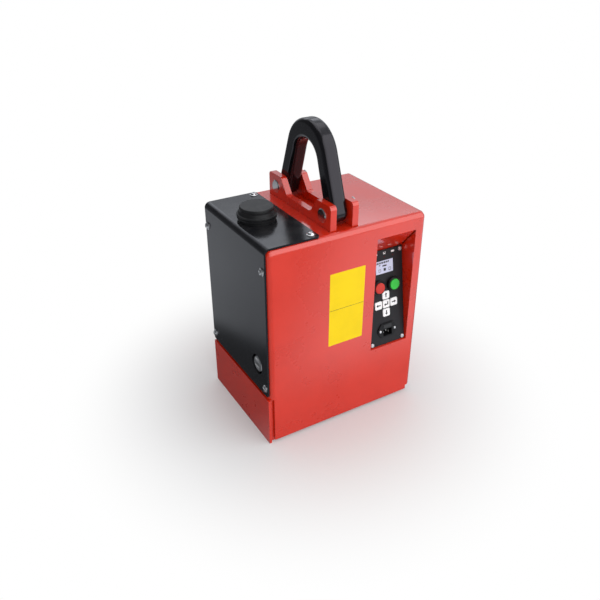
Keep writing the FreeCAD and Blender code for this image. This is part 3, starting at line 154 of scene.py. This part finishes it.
def makeEdgeWear():
    # thin, broken rubbing along the edges
    inputs = {"Radius": wearLook["radius"], "Amount": wearLook["amount"]}
    group, given, out = newGroup("edgeWear", inputs, ["Mask"])
    bevel = addNode(group, "ShaderNodeBevel", samples=wearLook["samples"])
    wire(group, given.outputs["Radius"], bevel.inputs["Radius"])
    plain = addNode(group, "ShaderNodeNewGeometry")
    dot = addNode(group, "ShaderNodeVectorMath", operation="DOT_PRODUCT")
    wire(group, bevel.outputs["Normal"], dot.inputs[0])
    wire(group, plain.outputs["Normal"], dot.inputs[1])
    edge = spread(group, dot.outputs["Value"], wearLook["edgeSpan"])
    broken = noiseAt(group, objectCoords(group), wearLook["brokenScale"], wearLook["brokenDetail"],
                     wearLook["brokenRough"])
    rubbed = times(group, edge, spread(group, broken, wearLook["brokenSpan"]))
    wire(group, times(group, rubbed, given.outputs["Amount"], True), out.inputs["Mask"])
    return group


dustLook = {"amount": 0.1, "scale": 30.0, "upSpan": (0.4, 1.0), "cloudDetail": 7.0, "cloudRough": 0.65,
            "cloudSpan": (0.38, 0.72)}


def makeSettledDust():
    # pale dust on faces that look up
    inputs = {"Amount": dustLook["amount"], "Scale": dustLook["scale"]}
    group, given, out = newGroup("settledDust", inputs, ["Mask"])
    normal = addNode(group, "ShaderNodeSeparateXYZ")
    wire(group, addNode(group, "ShaderNodeNewGeometry").outputs["Normal"], normal.inputs[0])
    up = spread(group, normal.outputs["Z"], dustLook["upSpan"])
    cloud = noiseAt(group, objectCoords(group), given.outputs["Scale"], dustLook["cloudDetail"],
                    dustLook["cloudRough"])
    settled = times(group, up, spread(group, cloud, dustLook["cloudSpan"]))
    wire(group, times(group, settled, given.outputs["Amount"], True), out.inputs["Mask"])
    return group


scratchLook = {"scale": 1.0, "amount": 0.3, "twist": (1.0, 0.6, 1.4),
               "ways": ((0.5, (900.0, 14.0, 60.0)), (-0.8, (40.0, 800.0, 18.0))),
               "lineDetail": 2.0, "lineSpan": (0.68, 0.76),
               "patchScale": 12.0, "patchDetail": 3.0, "patchSpan": (0.45, 0.7)}


def makeHairScratches():
    # sparse hairlines in two directions
    inputs = {"Scale": scratchLook["scale"], "Amount": scratchLook["amount"]}
    group, given, out = newGroup("hairScratches", inputs, ["Mask"])
    lines = []
    for turn, stretch in scratchLook["ways"]:
        mapping = addNode(group, "ShaderNodeMapping")
        mapping.inputs["Rotation"].default_value = tuple(turn * part for part in scratchLook["twist"])
        mapping.inputs["Scale"].default_value = stretch
        wire(group, objectCoords(group), mapping.inputs["Vector"])
        line = noiseAt(group, mapping.outputs["Vector"], given.outputs["Scale"], scratchLook["lineDetail"])
        lines.append(spread(group, line, scratchLook["lineSpan"]))
    both = mathNode(group, "MAXIMUM", *lines)
    patch = noiseAt(group, objectCoords(group), scratchLook["patchScale"], scratchLook["patchDetail"])
    sparse = times(group, both, spread(group, patch, scratchLook["patchSpan"]))
    wire(group, times(group, sparse, given.outputs["Amount"], True), out.inputs["Mask"])
    return group


grainLook = {"across": 1400.0, "along": 30.0, "detail": 3.0}


def makeBrushGrain():
    # the drawn or ground lines of bare metal
    inputs = {"Across": grainLook["across"], "Along": grainLook["along"]}
    group, given, out = newGroup("brushGrain", inputs, ["Grain"])
    scales = addNode(group, "ShaderNodeCombineXYZ")
    for axis, label in (("X", "Across"), ("Y", "Along"), ("Z", "Across")):
        wire(group, given.outputs[label], scales.inputs[axis])
    stretched = addNode(group, "ShaderNodeVectorMath", operation="MULTIPLY")
    wire(group, objectCoords(group), stretched.inputs[0])
    wire(group, scales.outputs[0], stretched.inputs[1])
    wire(group, noiseAt(group, stretched.outputs[0], 1.0, grainLook["detail"]), out.inputs["Grain"])
    return group


sprayPeel = makeSprayPeel()
edgeWear = makeEdgeWear()
settledDust = makeSettledDust()
hairScratches = makeHairScratches()
brushGrain = makeBrushGrain()
print("effects done")


# finishes

def newMaterial(name):
    material = bpy.data.materials.new(name)
    material.use_nodes = True
    tree = material.node_tree
    return material, tree, tree.nodes["Principled BSDF"]


def shade(colour, factor):
    return tuple(min(1.0, channel * factor) for channel in colour)


def roughInto(tree, shader, base, mask, added):
    roughness = mathNode(tree, "ADD", base, times(tree, mask, added), True)
    wire(tree, roughness, shader.inputs["Roughness"])


def bumpInto(tree, shader, height, strength, distance):
    bump = addNode(tree, "ShaderNodeBump")
    bump.inputs["Strength"].default_value = strength
    bump.inputs["Distance"].default_value = distance
    wire(tree, height, bump.inputs["Height"])
    wire(tree, bump.outputs["Normal"], shader.inputs["Normal"])


paintLook = {"dark": 0.94, "light": 1.05, "scratched": 1.5, "dustColour": (0.55, 0.53, 0.5), "dustRough": 0.5,
             "smooth": 0.86, "coarse": 1.16, "coatRough": 0.05, "coatIor": 1.6, "peelDepth": 0.0003}


def paint(name, colour, rough, peel=0.12, peelScale=900.0, coat=0.0, wear=0.25, wornTo=(0.32, 0.3, 0.29),
          wearRadius=0.0012, dust=0.03, scratch=0.03, gloss=0.5, sheen=(1.0, 1.0, 1.0)):
    material, tree, shader = newMaterial(name)
    spray = useGroup(tree, sprayPeel, Scale=peelScale)
    worn = useGroup(tree, edgeWear, Radius=wearRadius, Amount=wear)
    dusty = useGroup(tree, settledDust, Amount=dust)
    lines = useGroup(tree, hairScratches, Amount=scratch)
    tone = mixColour(tree, spray.outputs["Patch"], shade(colour, paintLook["dark"]),
                     shade(colour, paintLook["light"]))
    tone = mixColour(tree, lines.outputs["Mask"], tone, shade(colour, paintLook["scratched"]))
    tone = mixColour(tree, dusty.outputs["Mask"], tone, paintLook["dustColour"])
    tone = mixColour(tree, worn.outputs["Mask"], tone, wornTo)
    wire(tree, tone, shader.inputs["Base Color"])
    patchy = spread(tree, spray.outputs["Patch"], (0.0, 1.0), rough * paintLook["smooth"],
                    rough * paintLook["coarse"])
    roughInto(tree, shader, patchy, dusty.outputs["Mask"], paintLook["dustRough"])
    shader.inputs["Specular IOR Level"].default_value = gloss
    shader.inputs["Specular Tint"].default_value = (*sheen, 1.0)
    shader.inputs["Coat Weight"].default_value = coat
    shader.inputs["Coat Roughness"].default_value = paintLook["coatRough"]
    shader.inputs["Coat IOR"].default_value = paintLook["coatIor"]
    bumpInto(tree, shader, spray.outputs["Height"], peel, paintLook["peelDepth"])
    return material


metalLook = {"wearRadius": 0.0008, "wornTo": (0.85, 0.85, 0.86), "scratch": 0.5, "scratchRough": 0.25,
             "stainScale": 300.0, "stainBlotch": 60.0, "stained": 0.85, "grainSpan": (0.2, 0.8),
             "smooth": 0.75, "coarse": 1.3, "grainDepth": 0.0002}


def metal(name, colour, rough, across=1400.0, along=30.0, grain=0.15, wear=0.4, dark=0.75):
    material, tree, shader = newMaterial(name)
    brushed = useGroup(tree, brushGrain, Across=across, Along=along)
    worn = useGroup(tree, edgeWear, Radius=metalLook["wearRadius"], Amount=wear)
    lines = useGroup(tree, hairScratches, Amount=metalLook["scratch"])
    stain = useGroup(tree, sprayPeel, Scale=metalLook["stainScale"], Blotch=metalLook["stainBlotch"])
    tone = mixColour(tree, brushed.outputs["Grain"], shade(colour, dark), colour)
    tone = mixColour(tree, stain.outputs["Patch"], shade(colour, metalLook["stained"]), tone)
    tone = mixColour(tree, worn.outputs["Mask"], tone, metalLook["wornTo"])
    wire(tree, tone, shader.inputs["Base Color"])
    shader.inputs["Metallic"].default_value = 1.0
    lined = spread(tree, brushed.outputs["Grain"], metalLook["grainSpan"], rough * metalLook["smooth"],
                   rough * metalLook["coarse"])
    roughInto(tree, shader, lined, lines.outputs["Mask"], metalLook["scratchRough"])
    bumpInto(tree, shader, brushed.outputs["Grain"], grain, metalLook["grainDepth"])
    return material


plasticLook = {"blotch": 25.0, "dustScale": 60.0, "dustColour": (0.5, 0.48, 0.45), "wearRadius": 0.0006,
               "worn": 1.9, "scratch": 0.35, "scratchRough": 0.2, "grainSpan": (0.2, 0.8),
               "smooth": 0.85, "coarse": 1.15, "grainDepth": 0.0001}


def plastic(name, colour, rough, grainScale=2200.0, grain=0.15, dust=0.04, wear=0.2, gloss=0.5, vary=0.1):
    material, tree, shader = newMaterial(name)
    moulded = useGroup(tree, sprayPeel, Scale=grainScale, Blotch=plasticLook["blotch"])
    dusty = useGroup(tree, settledDust, Amount=dust, Scale=plasticLook["dustScale"])
    worn = useGroup(tree, edgeWear, Radius=plasticLook["wearRadius"], Amount=wear)
    lines = useGroup(tree, hairScratches, Amount=plasticLook["scratch"])
    tone = mixColour(tree, moulded.outputs["Patch"], shade(colour, 1.0 - vary), shade(colour, 1.0 + vary))
    tone = mixColour(tree, worn.outputs["Mask"], tone, shade(colour, plasticLook["worn"]))
    tone = mixColour(tree, dusty.outputs["Mask"], tone, plasticLook["dustColour"])
    wire(tree, tone, shader.inputs["Base Color"])
    grainy = spread(tree, moulded.outputs["Height"], plasticLook["grainSpan"], rough * plasticLook["smooth"],
                    rough * plasticLook["coarse"])
    roughInto(tree, shader, grainy, lines.outputs["Mask"], plasticLook["scratchRough"])
    shader.inputs["Specular IOR Level"].default_value = gloss
    bumpInto(tree, shader, moulded.outputs["Height"], grain, plasticLook["grainDepth"])
    return material


glassLook = {"smearScale": 60.0, "smearBlotch": 18.0, "dark": 0.96, "light": 1.03, "scratch": 0.4,
             "scratchRough": 0.2, "smooth": 0.7, "coarse": 1.8}


def glassy(name, colour, rough=0.06, transmission=0.0):
    material, tree, shader = newMaterial(name)
    smear = useGroup(tree, sprayPeel, Scale=glassLook["smearScale"], Blotch=glassLook["smearBlotch"])
    lines = useGroup(tree, hairScratches, Amount=glassLook["scratch"])
    tone = mixColour(tree, smear.outputs["Patch"], shade(colour, glassLook["dark"]),
                     shade(colour, glassLook["light"]))
    wire(tree, tone, shader.inputs["Base Color"])
    smeared = spread(tree, smear.outputs["Patch"], (0.0, 1.0), rough * glassLook["smooth"],
                     rough * glassLook["coarse"])
    roughInto(tree, shader, smeared, lines.outputs["Mask"], glassLook["scratchRough"])
    shader.inputs["Transmission Weight"].default_value = transmission
    return material


# colours are linear
paints = {
    "redPaint": {"colour": (0.7, 0.022, 0.003), "rough": 0.3, "peel": 0.04, "peelScale": 700.0, "coat": 1.0,
                 "wear": 0.08, "scratch": 0.006, "dust": 0.015},
    "blackPaint": {"colour": (0.009, 0.0092, 0.0112), "rough": 0.17, "peel": 0.08, "peelScale": 1400.0,
                   "gloss": 0.38, "sheen": (0.91, 0.905, 1.0), "wornTo": (0.12, 0.12, 0.12)},
    "forgedBlack": {"colour": (0.0036, 0.0037, 0.0044), "rough": 0.14, "peel": 0.08, "peelScale": 420.0,
                    "gloss": 0.5, "sheen": (0.95, 0.9, 1.0), "wornTo": (0.14, 0.14, 0.145), "wear": 0.4,
                    "wearRadius": 0.003, "dust": 0.015},
    "panelGrey": {"colour": (0.0165, 0.016, 0.0185), "rough": 0.5, "peel": 0.15, "peelScale": 1800.0,
                  "wear": 0.15, "gloss": 0.25},
}
metals = {
    "poleSteel": {"colour": (0.5, 0.5, 0.51), "rough": 0.32, "across": 500.0},
    "zincSteel": {"colour": (0.66, 0.66, 0.67), "rough": 0.3, "across": 900.0, "along": 300.0},
    "brightSteel": {"colour": (0.8, 0.8, 0.81), "rough": 0.16, "across": 900.0, "along": 500.0,
                    "grain": 0.06},
    "screwZinc": {"colour": (0.9, 0.9, 0.91), "rough": 0.42, "across": 900.0, "along": 500.0, "grain": 0.06,
                  "dark": 0.9},
    "satinChrome": {"colour": (0.86, 0.86, 0.87), "rough": 0.22, "across": 1200.0, "along": 1200.0,
                    "grain": 0.08, "dark": 0.9},
    "copperWire": {"colour": (0.62, 0.27, 0.13), "rough": 0.35, "across": 60.0, "along": 60.0},
    "dullNickel": {"colour": (0.4, 0.39, 0.37), "rough": 0.4},
    "castAlloy": {"colour": (0.55, 0.55, 0.57), "rough": 0.45, "across": 200.0, "along": 200.0},
}
plastics = {
    "blackPlastic": {"colour": (0.0122, 0.0124, 0.0138), "rough": 0.4, "gloss": 0.22},
    "glossBlack": {"colour": (0.007, 0.007, 0.008), "rough": 0.32, "grain": 0.06, "gloss": 0.25},
    "drawerBlack": {"colour": (0.022, 0.022, 0.024), "rough": 0.38, "grain": 0.06, "gloss": 0.4},
    "sealRubber": {"colour": (0.012, 0.012, 0.012), "rough": 0.75},
    "redCap": {"colour": (0.56, 0.03, 0.02), "rough": 0.35, "grain": 0.05, "gloss": 0.4},
    "greenCap": {"colour": (0.028, 0.5, 0.045), "rough": 0.35, "grain": 0.05, "gloss": 0.4},
    "whiteKey": {"colour": (0.93, 0.93, 0.94), "rough": 0.45, "grain": 0.1, "dust": 0.02, "vary": 0.04},
    "boardGreen": {"colour": (0.02, 0.13, 0.05), "rough": 0.4},
    "labelYellow": {"colour": (0.93, 0.66, 0.002), "rough": 0.4, "grain": 0.05, "wear": 0.0, "dust": 0.0,
                    "gloss": 0.25, "vary": 0.03},
    "printBlack": {"colour": (0.01, 0.01, 0.012), "rough": 0.5, "grain": 0.05, "wear": 0.0},
    "printWhite": {"colour": (0.8, 0.8, 0.8), "rough": 0.5, "grain": 0.05, "wear": 0.0},
}
glasses = {
    "screenGlass": {"colour": (0.62, 0.66, 0.85)},
    "lampLens": {"colour": (0.1, 0.012, 0.01), "rough": 0.12},
    "fuseGlass": {"colour": (0.85, 0.87, 0.87), "transmission": 0.6},
}
finishes = {}
for recipe, table in ((paint, paints), (metal, metals), (plastic, plastics), (glassy, glasses)):
    for finishName, values in table.items():
        finishes[finishName] = recipe(finishName, **values)

nodeFinish = {
    "redPaint": ["front_cover", "top_side_panel", "back_panel", "left_side_plate", "right_side_plate",
                 "left_lug_plate", "right_lug_plate", "front_closing_plate", "rear_closing_plate"],
    "blackPaint": ["battery_cover"],
    "forgedBlack": ["lifting_bow"],
    "panelGrey": ["control_panel"],
    "poleSteel": ["left_pole", "right_pole", "yoke_plate", "centre_core", "bottom_plate", "lug_spacers"],
    "zincSteel": ["core_bolts", "pin_washers", "split_pins", "weld_nuts", "cover_strips", "isolator_bracket",
                  "battery_rack", "battery_strap"],
    "brightSteel": ["front_pin", "rear_pin", "cover_screws"],
    "screwZinc": ["panel_screws", "inlet_screws"],
    "satinChrome": ["isolator_knob"],
    "copperWire": ["coil_winding"],
    "dullNickel": ["inlet_contacts"],
    "castAlloy": ["charger_unit"],
    "blackPlastic": ["vent_neck", "vent_cap", "isolator_body", "coil_former", "display_module",
                     "contact_blocks", "contactor", "batteries"],
    "glossBlack": ["button_collars", "mains_inlet"],
    "drawerBlack": ["fuse_drawer"],
    "sealRubber": ["vent_seal"],
    "redCap": ["red_button"],
    "greenCap": ["green_button"],
    "whiteKey": ["key_up", "key_down", "key_left", "key_right", "key_enter"],
    "boardGreen": ["key_board", "control_board"],
    "screenGlass": ["display_window"],
    "lampLens": ["status_lamps"],
    "fuseGlass": ["mains_fuse"],
}
for finishName, nodeNames in nodeFinish.items():
    for nodeName in nodeNames:
        slots = frame["nodes"][nodeName].data.materials
        slots.clear()
        slots.append(finishes[finishName])
print("finishes on the nodes:", sum(len(names) for names in nodeFinish.values()))


# prints are thin plates, with outlines of (u, v) in millimetres

def plates(name, outlines, place, low, high, finish, body):
    # place turns (u, v, out) into a point, and low and high are the plate's two faces along out
    mesh = bmesh.new()
    for outline in outlines:
        under, over = [[mesh.verts.new(place(u, v, out)) for u, v in outline] for out in (low, high)]
        mesh.faces.new(over)
        mesh.faces.new(list(reversed(under)))
        for k in range(len(outline)):
            follow = (k + 1) % len(outline)
            mesh.faces.new((under[k], under[follow], over[follow], over[k]))
    bmesh.ops.recalc_face_normals(mesh, faces=mesh.faces)
    data = bpy.data.meshes.new(name)
    mesh.to_mesh(data)
    mesh.free()
    piece = bpy.data.objects.new(name, data)
    scene.collection.objects.link(piece)
    data.materials.append(finishes[finish])
    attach(piece, body)


def rectangle(left, right, low, high):
    return [(left, low), (right, low), (right, high), (left, high)]


def roundedRectangle(left, right, low, high, radius, steps=6):
    centres = rectangle(left + radius, right - radius, low + radius, high - radius)
    points = []
    for (u, v), start in zip(centres, (180, 270, 0, 90)):
        for k in range(steps + 1):
            angle = math.radians(start + 90 * k / steps)
            points.append((u + radius * math.cos(angle), v + radius * math.sin(angle)))
    return points


def hollowRectangle(left, right, low, high, upright, level):
    # two level lines, and two uprights between them
    return [rectangle(left, right, low, low + level), rectangle(left, right, high - level, high),
            rectangle(left, left + upright, low + level, high - level),
            rectangle(right - upright, right, low + level, high - level)]


def moved(outline, spot):
    return [(u + spot[0], v + spot[1]) for u, v in outline]


def turned(outline, degrees):
    cosine, sine = math.cos(math.radians(degrees)), math.sin(math.radians(degrees))
    return [(cosine * u - sine * v, sine * u + cosine * v) for u, v in outline]


# a bare label in two fields on the front cover
label = {"left": -46.9, "right": 39.9, "low": 208.4, "high": 382.5, "corner": 2.0, "thick": 0.12,
         "sunk": 0.05, "divider": 295.4, "line": 0.8, "ink": 0.03, "inkSunk": 0.02}
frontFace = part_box("front_cover")[0].y


def onFront(u, v, out):
    return Vector((u * mm, frontFace - out * mm, v * mm))


labelOutline = roundedRectangle(label["left"], label["right"], label["low"], label["high"], label["corner"])
plates("front_label", [labelOutline], onFront, -label["sunk"], label["thick"], "labelYellow", "housing")
dividerOutline = rectangle(label["left"], label["right"], label["divider"] - label["line"] / 2,
                           label["divider"] + label["line"] / 2)
plates("label_divider", [dividerOutline], onFront, label["thick"] - label["inkSunk"],
       label["thick"] + label["ink"], "printBlack", "housing")
print("label done")

# the leaning control panel has axes of its own: u across, v up its face, out of its face
panel = {"node": "control_panel", "thick": 3.0, "pressJoint": "red_button_press"}
pressAxis = [joint["axis"] for joint in frame["joints"] if joint["name"] == panel["pressJoint"]][0]
panelOut = -Vector(pressAxis).normalized()
panelUp = panelOut.cross(Vector((1, 0, 0)))
panelLow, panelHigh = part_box(panel["node"])
panelFoot = Vector(((panelLow.x + panelHigh.x) / 2, panelLow.y,
                    panelLow.z + panel["thick"] * mm * panelOut.z))  # the middle of the face's lower edge


def onPanel(u, v, out):
    return panelFoot + (Vector((u, 0, 0)) + panelUp * v + panelOut * out) * mm


def spotOnPanel(nodeName):
    low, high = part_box(nodeName)
    offset = (low + high) / 2 - panelFoot
    return offset.x / mm, offset.dot(panelUp) / mm


arrowShape = [(0, 6.0), (-3.6, 1.4), (-1.3, 1.4), (-1.3, -5.4), (1.3, -5.4), (1.3, 1.4), (3.6, 1.4)]
enterShape = [(-6.0, -1.6), (-2.0, 1.8), (-2.0, -0.4), (3.0, -0.4), (3.0, 4.8), (5.4, 4.8), (5.4, -2.8),
              (-2.0, -2.8), (-2.0, -5.0)]
keySigns = {"top": 1.6, "ink": 0.06, "sunk": 0.02,
            "signs": {"key_up": (arrowShape, 0), "key_down": (arrowShape, 180), "key_left": (arrowShape, 90),
                      "key_right": (arrowShape, -90), "key_enter": (enterShape, 0)}}
for keyName, (shape, turn) in keySigns["signs"].items():
    plates(keyName + "_print", [moved(turned(shape, turn), spotOnPanel(keyName))], onPanel,
           keySigns["top"] - keySigns["sunk"], keySigns["top"] + keySigns["ink"], "printBlack", keyName)

# marks on the display: a row of slanted bars, three blocks and two hollow signs, from the window's middle
screen = {"glass": -0.2, "ink": 0.05, "sunk": 0.02,
          "bars": 7, "barLeft": -21.5, "barLow": 8.2, "barStep": 4.9, "barWide": 3.4, "barTall": 4.2,
          "slant": 1.5,
          "blocks": ((-15.0, -11.0, 4.2, 6.0), (-5.5, 5.5, 1.0, 4.2), (-2.5, 3.5, -9.6, -3.2)),
          "signs": (-13.0, 14.0), "signHalf": 3.0, "signLow": -10.4, "signHigh": -3.7,
          "upright": 0.8, "level": 0.9}


def screenOutlines():
    bar = rectangle(0.0, screen["barWide"], screen["barLow"], screen["barLow"] + screen["barTall"])
    bar = bar[:2] + moved(bar[2:], (screen["slant"], 0.0))
    outlines = [moved(bar, (screen["barLeft"] + screen["barStep"] * k, 0.0)) for k in range(screen["bars"])]
    outlines += [rectangle(*block) for block in screen["blocks"]]
    for middle in screen["signs"]:
        left, right = middle - screen["signHalf"], middle + screen["signHalf"]
        outlines += hollowRectangle(left, right, screen["signLow"], screen["signHigh"], screen["upright"],
                                    screen["level"])
    return [moved(outline, spotOnPanel("display_window")) for outline in outlines]


plates("screen_marks", screenOutlines(), onPanel, screen["glass"] - screen["sunk"],
       screen["glass"] + screen["ink"], "printBlack", "housing")

# three plain signs over the lamps: a hollow field, a magnet and a battery
icons = {"up": 217.5, "ink": 0.06, "sunk": 0.02,
         "fieldAt": -22.0, "field": (-3.6, 3.6, -2.4, 2.4), "fieldLine": 1.0,
         "magnetAt": 0.5, "magnet": ((-3.0, -1.4, -0.4, 3.0), (1.4, 3.0, -0.4, 3.0), (-3.0, 3.0, -2.6, -0.6)),
         "batteryAt": 23.0, "battery": ((-4.2, 3.4, -2.2, 2.2), (3.6, 4.6, -1.0, 1.0))}
fieldLines = hollowRectangle(*icons["field"], icons["fieldLine"], icons["fieldLine"])
iconOutlines = [moved(outline, (icons["fieldAt"], icons["up"])) for outline in fieldLines]
for sign in ("magnet", "battery"):
    iconOutlines += [moved(rectangle(*block), (icons[sign + "At"], icons["up"])) for block in icons[sign]]
plates("panel_icons", iconOutlines, onPanel, -icons["sunk"], icons["ink"], "printWhite", "housing")
print("panel prints done")


# studio: a strength or colour of 1 is white

pureWhite = (1.0, 1.0, 1.0)
# painted reflection tint: reflections of the floor and backdrop are cool, while the camera and the fill see
# pure white
paintedReflectionTint = (0.9, 0.94, 1.0)  # the tint of what the paint mirrors
floorLook = {"reach": 14.0, "colour": (0.82, 0.82, 0.83), "rough": 0.6, "whiteSpan": (0.16, 0.6),
             "whiteNear": 0.1}
# painted shade and light in what the paint mirrors of the floor, in metres from the magnet's middle
paintedFloorShading = {"sideSlant": 0.45, "sideSpan": (0.43, 0.5), "sideNear": 0.08, "side": 0.5,
               "farSpan": (0.45, 0.9), "far": 0.66, "outSpan": (1.25, 1.55), "out": 0.2,
               "frontSlant": 0.9, "frontSpan": (-0.52, -0.15), "frontLeft": 0.3, "frontRight": 1.0,
               "nearSpan": (0.2, 0.42), "near": 0.3, "awaySpan": (1.0, 2.2), "away": 0.52,
               "cornerSpan": (0.0, 0.2)}


def lightPaths(tree):
    paths = addNode(tree, "ShaderNodeLightPath").outputs
    mirrored = mathNode(tree, "MAXIMUM", paths["Is Glossy Ray"], paths["Is Transmission Ray"])
    return paths["Is Camera Ray"], mirrored


def floorWithPaintedShading(tree, coords, distance):
    # painted shadow: dim close to the magnet; painted pool of light: brightest before its right-hand side
    place = addNode(tree, "ShaderNodeSeparateXYZ")
    wire(tree, coords, place.inputs[0])
    leftward = times(tree, place.outputs["X"], -1.0)
    before = times(tree, place.outputs["Y"], -1.0)
    aslant = mathNode(tree, "ADD", leftward, times(tree, place.outputs["Y"], paintedFloorShading["sideSlant"]))
    beside = spread(tree, aslant, paintedFloorShading["sideSpan"], paintedFloorShading["sideNear"], paintedFloorShading["side"])
    beside = spread(tree, distance, paintedFloorShading["farSpan"], beside, paintedFloorShading["far"])
    beside = spread(tree, distance, paintedFloorShading["outSpan"], beside, paintedFloorShading["out"])
    across = mathNode(tree, "SUBTRACT", place.outputs["X"], times(tree, before, paintedFloorShading["frontSlant"]))
    front = spread(tree, across, paintedFloorShading["frontSpan"], paintedFloorShading["frontLeft"],
                   paintedFloorShading["frontRight"])
    front = spread(tree, before, paintedFloorShading["nearSpan"], paintedFloorShading["near"], front)
    front = spread(tree, before, paintedFloorShading["awaySpan"], front, paintedFloorShading["away"])
    return spread(tree, before, paintedFloorShading["cornerSpan"], beside, front)


def makeFloorMaterial():
    # the camera sees white away from the magnet, and the plain floor with its shadow close to it
    material, tree, shader = newMaterial("studioFloor")
    shader.inputs["Base Color"].default_value = (*floorLook["colour"], 1.0)
    shader.inputs["Roughness"].default_value = floorLook["rough"]
    seen, mirrored = lightPaths(tree)
    coords = objectCoords(tree)
    length = addNode(tree, "ShaderNodeVectorMath", operation="LENGTH")
    wire(tree, coords, length.inputs[0])
    distance = length.outputs["Value"]
    white = spread(tree, distance, floorLook["whiteSpan"], floorLook["whiteNear"], 1.0)
    glow = addNode(tree, "ShaderNodeEmission")
    wire(tree, mixColour(tree, mirrored, pureWhite, paintedReflectionTint), glow.inputs["Color"])
    # reflections see only a painted glow in the cool tint: painted shadow near the magnet, painted light
    # before it
    strength = mathNode(tree, "ADD", seen, times(tree, mirrored, floorWithPaintedShading(tree, coords, distance)))
    wire(tree, strength, glow.inputs["Strength"])
    mixer = addNode(tree, "ShaderNodeMixShader")
    wire(tree, mathNode(tree, "ADD", times(tree, seen, white), mirrored, True), mixer.inputs[0])
    wire(tree, shader.outputs[0], mixer.inputs[1])
    wire(tree, glow.outputs[0], mixer.inputs[2])
    wire(tree, mixer.outputs[0], tree.nodes["Material Output"].inputs["Surface"])
    return material


def makeFloor():
    mesh = bpy.data.meshes.new("studio_floor")
    reach = floorLook["reach"]
    corners = [(x, y, 0.0) for x, y in rectangle(-reach, reach, -reach, reach)]
    mesh.from_pydata(corners, [], [(0, 1, 2, 3)])
    mesh.materials.append(makeFloorMaterial())
    floor = bpy.data.objects.new("studio_floor", mesh)
    scene.collection.objects.link(floor)


# the spans are parts of a direction's length along X, Y or Z
# painted reflections: screen, underBox, box and wall set only what the paint mirrors, fill is the even light
# on the magnet
backdrop = {"fill": 0.44, "screen": 0.12, "screenSpan": (-0.3, 0.1), "wall": 0.7, "behindSpan": (0.4, 0.6),
            "underBox": 0.58, "box": 2.0, "riseSpan": (0.36, 0.435), "fallSpan": (0.47, 0.62)}


def makeBackdropAndPaintedReflections():
    # painted reflections: the paint mirrors a dark screen at the left and a soft box high behind the magnet,
    # which light nothing; other rays get an even fill
    world = bpy.data.worlds.new("studio")
    scene.world = world
    world.use_nodes = True
    tree = world.node_tree
    background = tree.nodes["Background"]
    seen, mirrored = lightPaths(tree)
    way = addNode(tree, "ShaderNodeSeparateXYZ")
    wire(tree, addNode(tree, "ShaderNodeTexCoord").outputs["Generated"], way.inputs[0])
    paintedReflection = spread(tree, way.outputs["Z"], backdrop["riseSpan"], backdrop["underBox"], backdrop["box"])
    paintedReflection = spread(tree, way.outputs["Z"], backdrop["fallSpan"], paintedReflection, backdrop["wall"])
    paintedReflection = spread(tree, way.outputs["Y"], backdrop["behindSpan"], backdrop["wall"], paintedReflection)
    paintedReflection = spread(tree, way.outputs["X"], backdrop["screenSpan"], backdrop["screen"], paintedReflection)
    light = spread(tree, seen, (0.0, 1.0), backdrop["fill"], 1.0)
    wire(tree, mixColour(tree, mirrored, pureWhite, paintedReflectionTint), background.inputs["Color"])
    wire(tree, spread(tree, mirrored, (0.0, 1.0), light, paintedReflection), background.inputs["Strength"])


def standAt(name, data, at, aim):
    item = bpy.data.objects.new(name, data)
    item.location = at
    item.rotation_euler = (Vector(aim) - Vector(at)).to_track_quat("-Z", "Y").to_euler()
    scene.collection.objects.link(item)
    return item


lamps = {
    "key": {"at": (0.8, -2.35, 1.05), "aim": (0.0, 0.0, 0.25), "size": 6.0, "watts": 134.0},
    "top": {"at": (0.3, 0.6, 2.6), "aim": (0.0, 0.0, 0.3), "size": 1.8, "watts": 8.0},
}
view = {"at": (-0.6919, -1.1106, 1.0079), "aim": (-0.1111, -0.12907, 0.33826), "lens": 39.47, "sensor": 36.0}

makeFloor()
makeBackdropAndPaintedReflections()
for lampName, lamp in lamps.items():
    lampData = bpy.data.lights.new(lampName, "AREA")
    lampData.shape = "SQUARE"
    lampData.size = lamp["size"]
    lampData.energy = lamp["watts"]
    standAt(lampName, lampData, lamp["at"], lamp["aim"])
cameraData = bpy.data.cameras.new("camera")
cameraData.lens = view["lens"]
cameraData.sensor_width = view["sensor"]
scene.camera = standAt("camera", cameraData, view["at"], view["aim"])
scene.view_settings.view_transform = "Standard"
print("studio done")

bpy.context.view_layer.update()
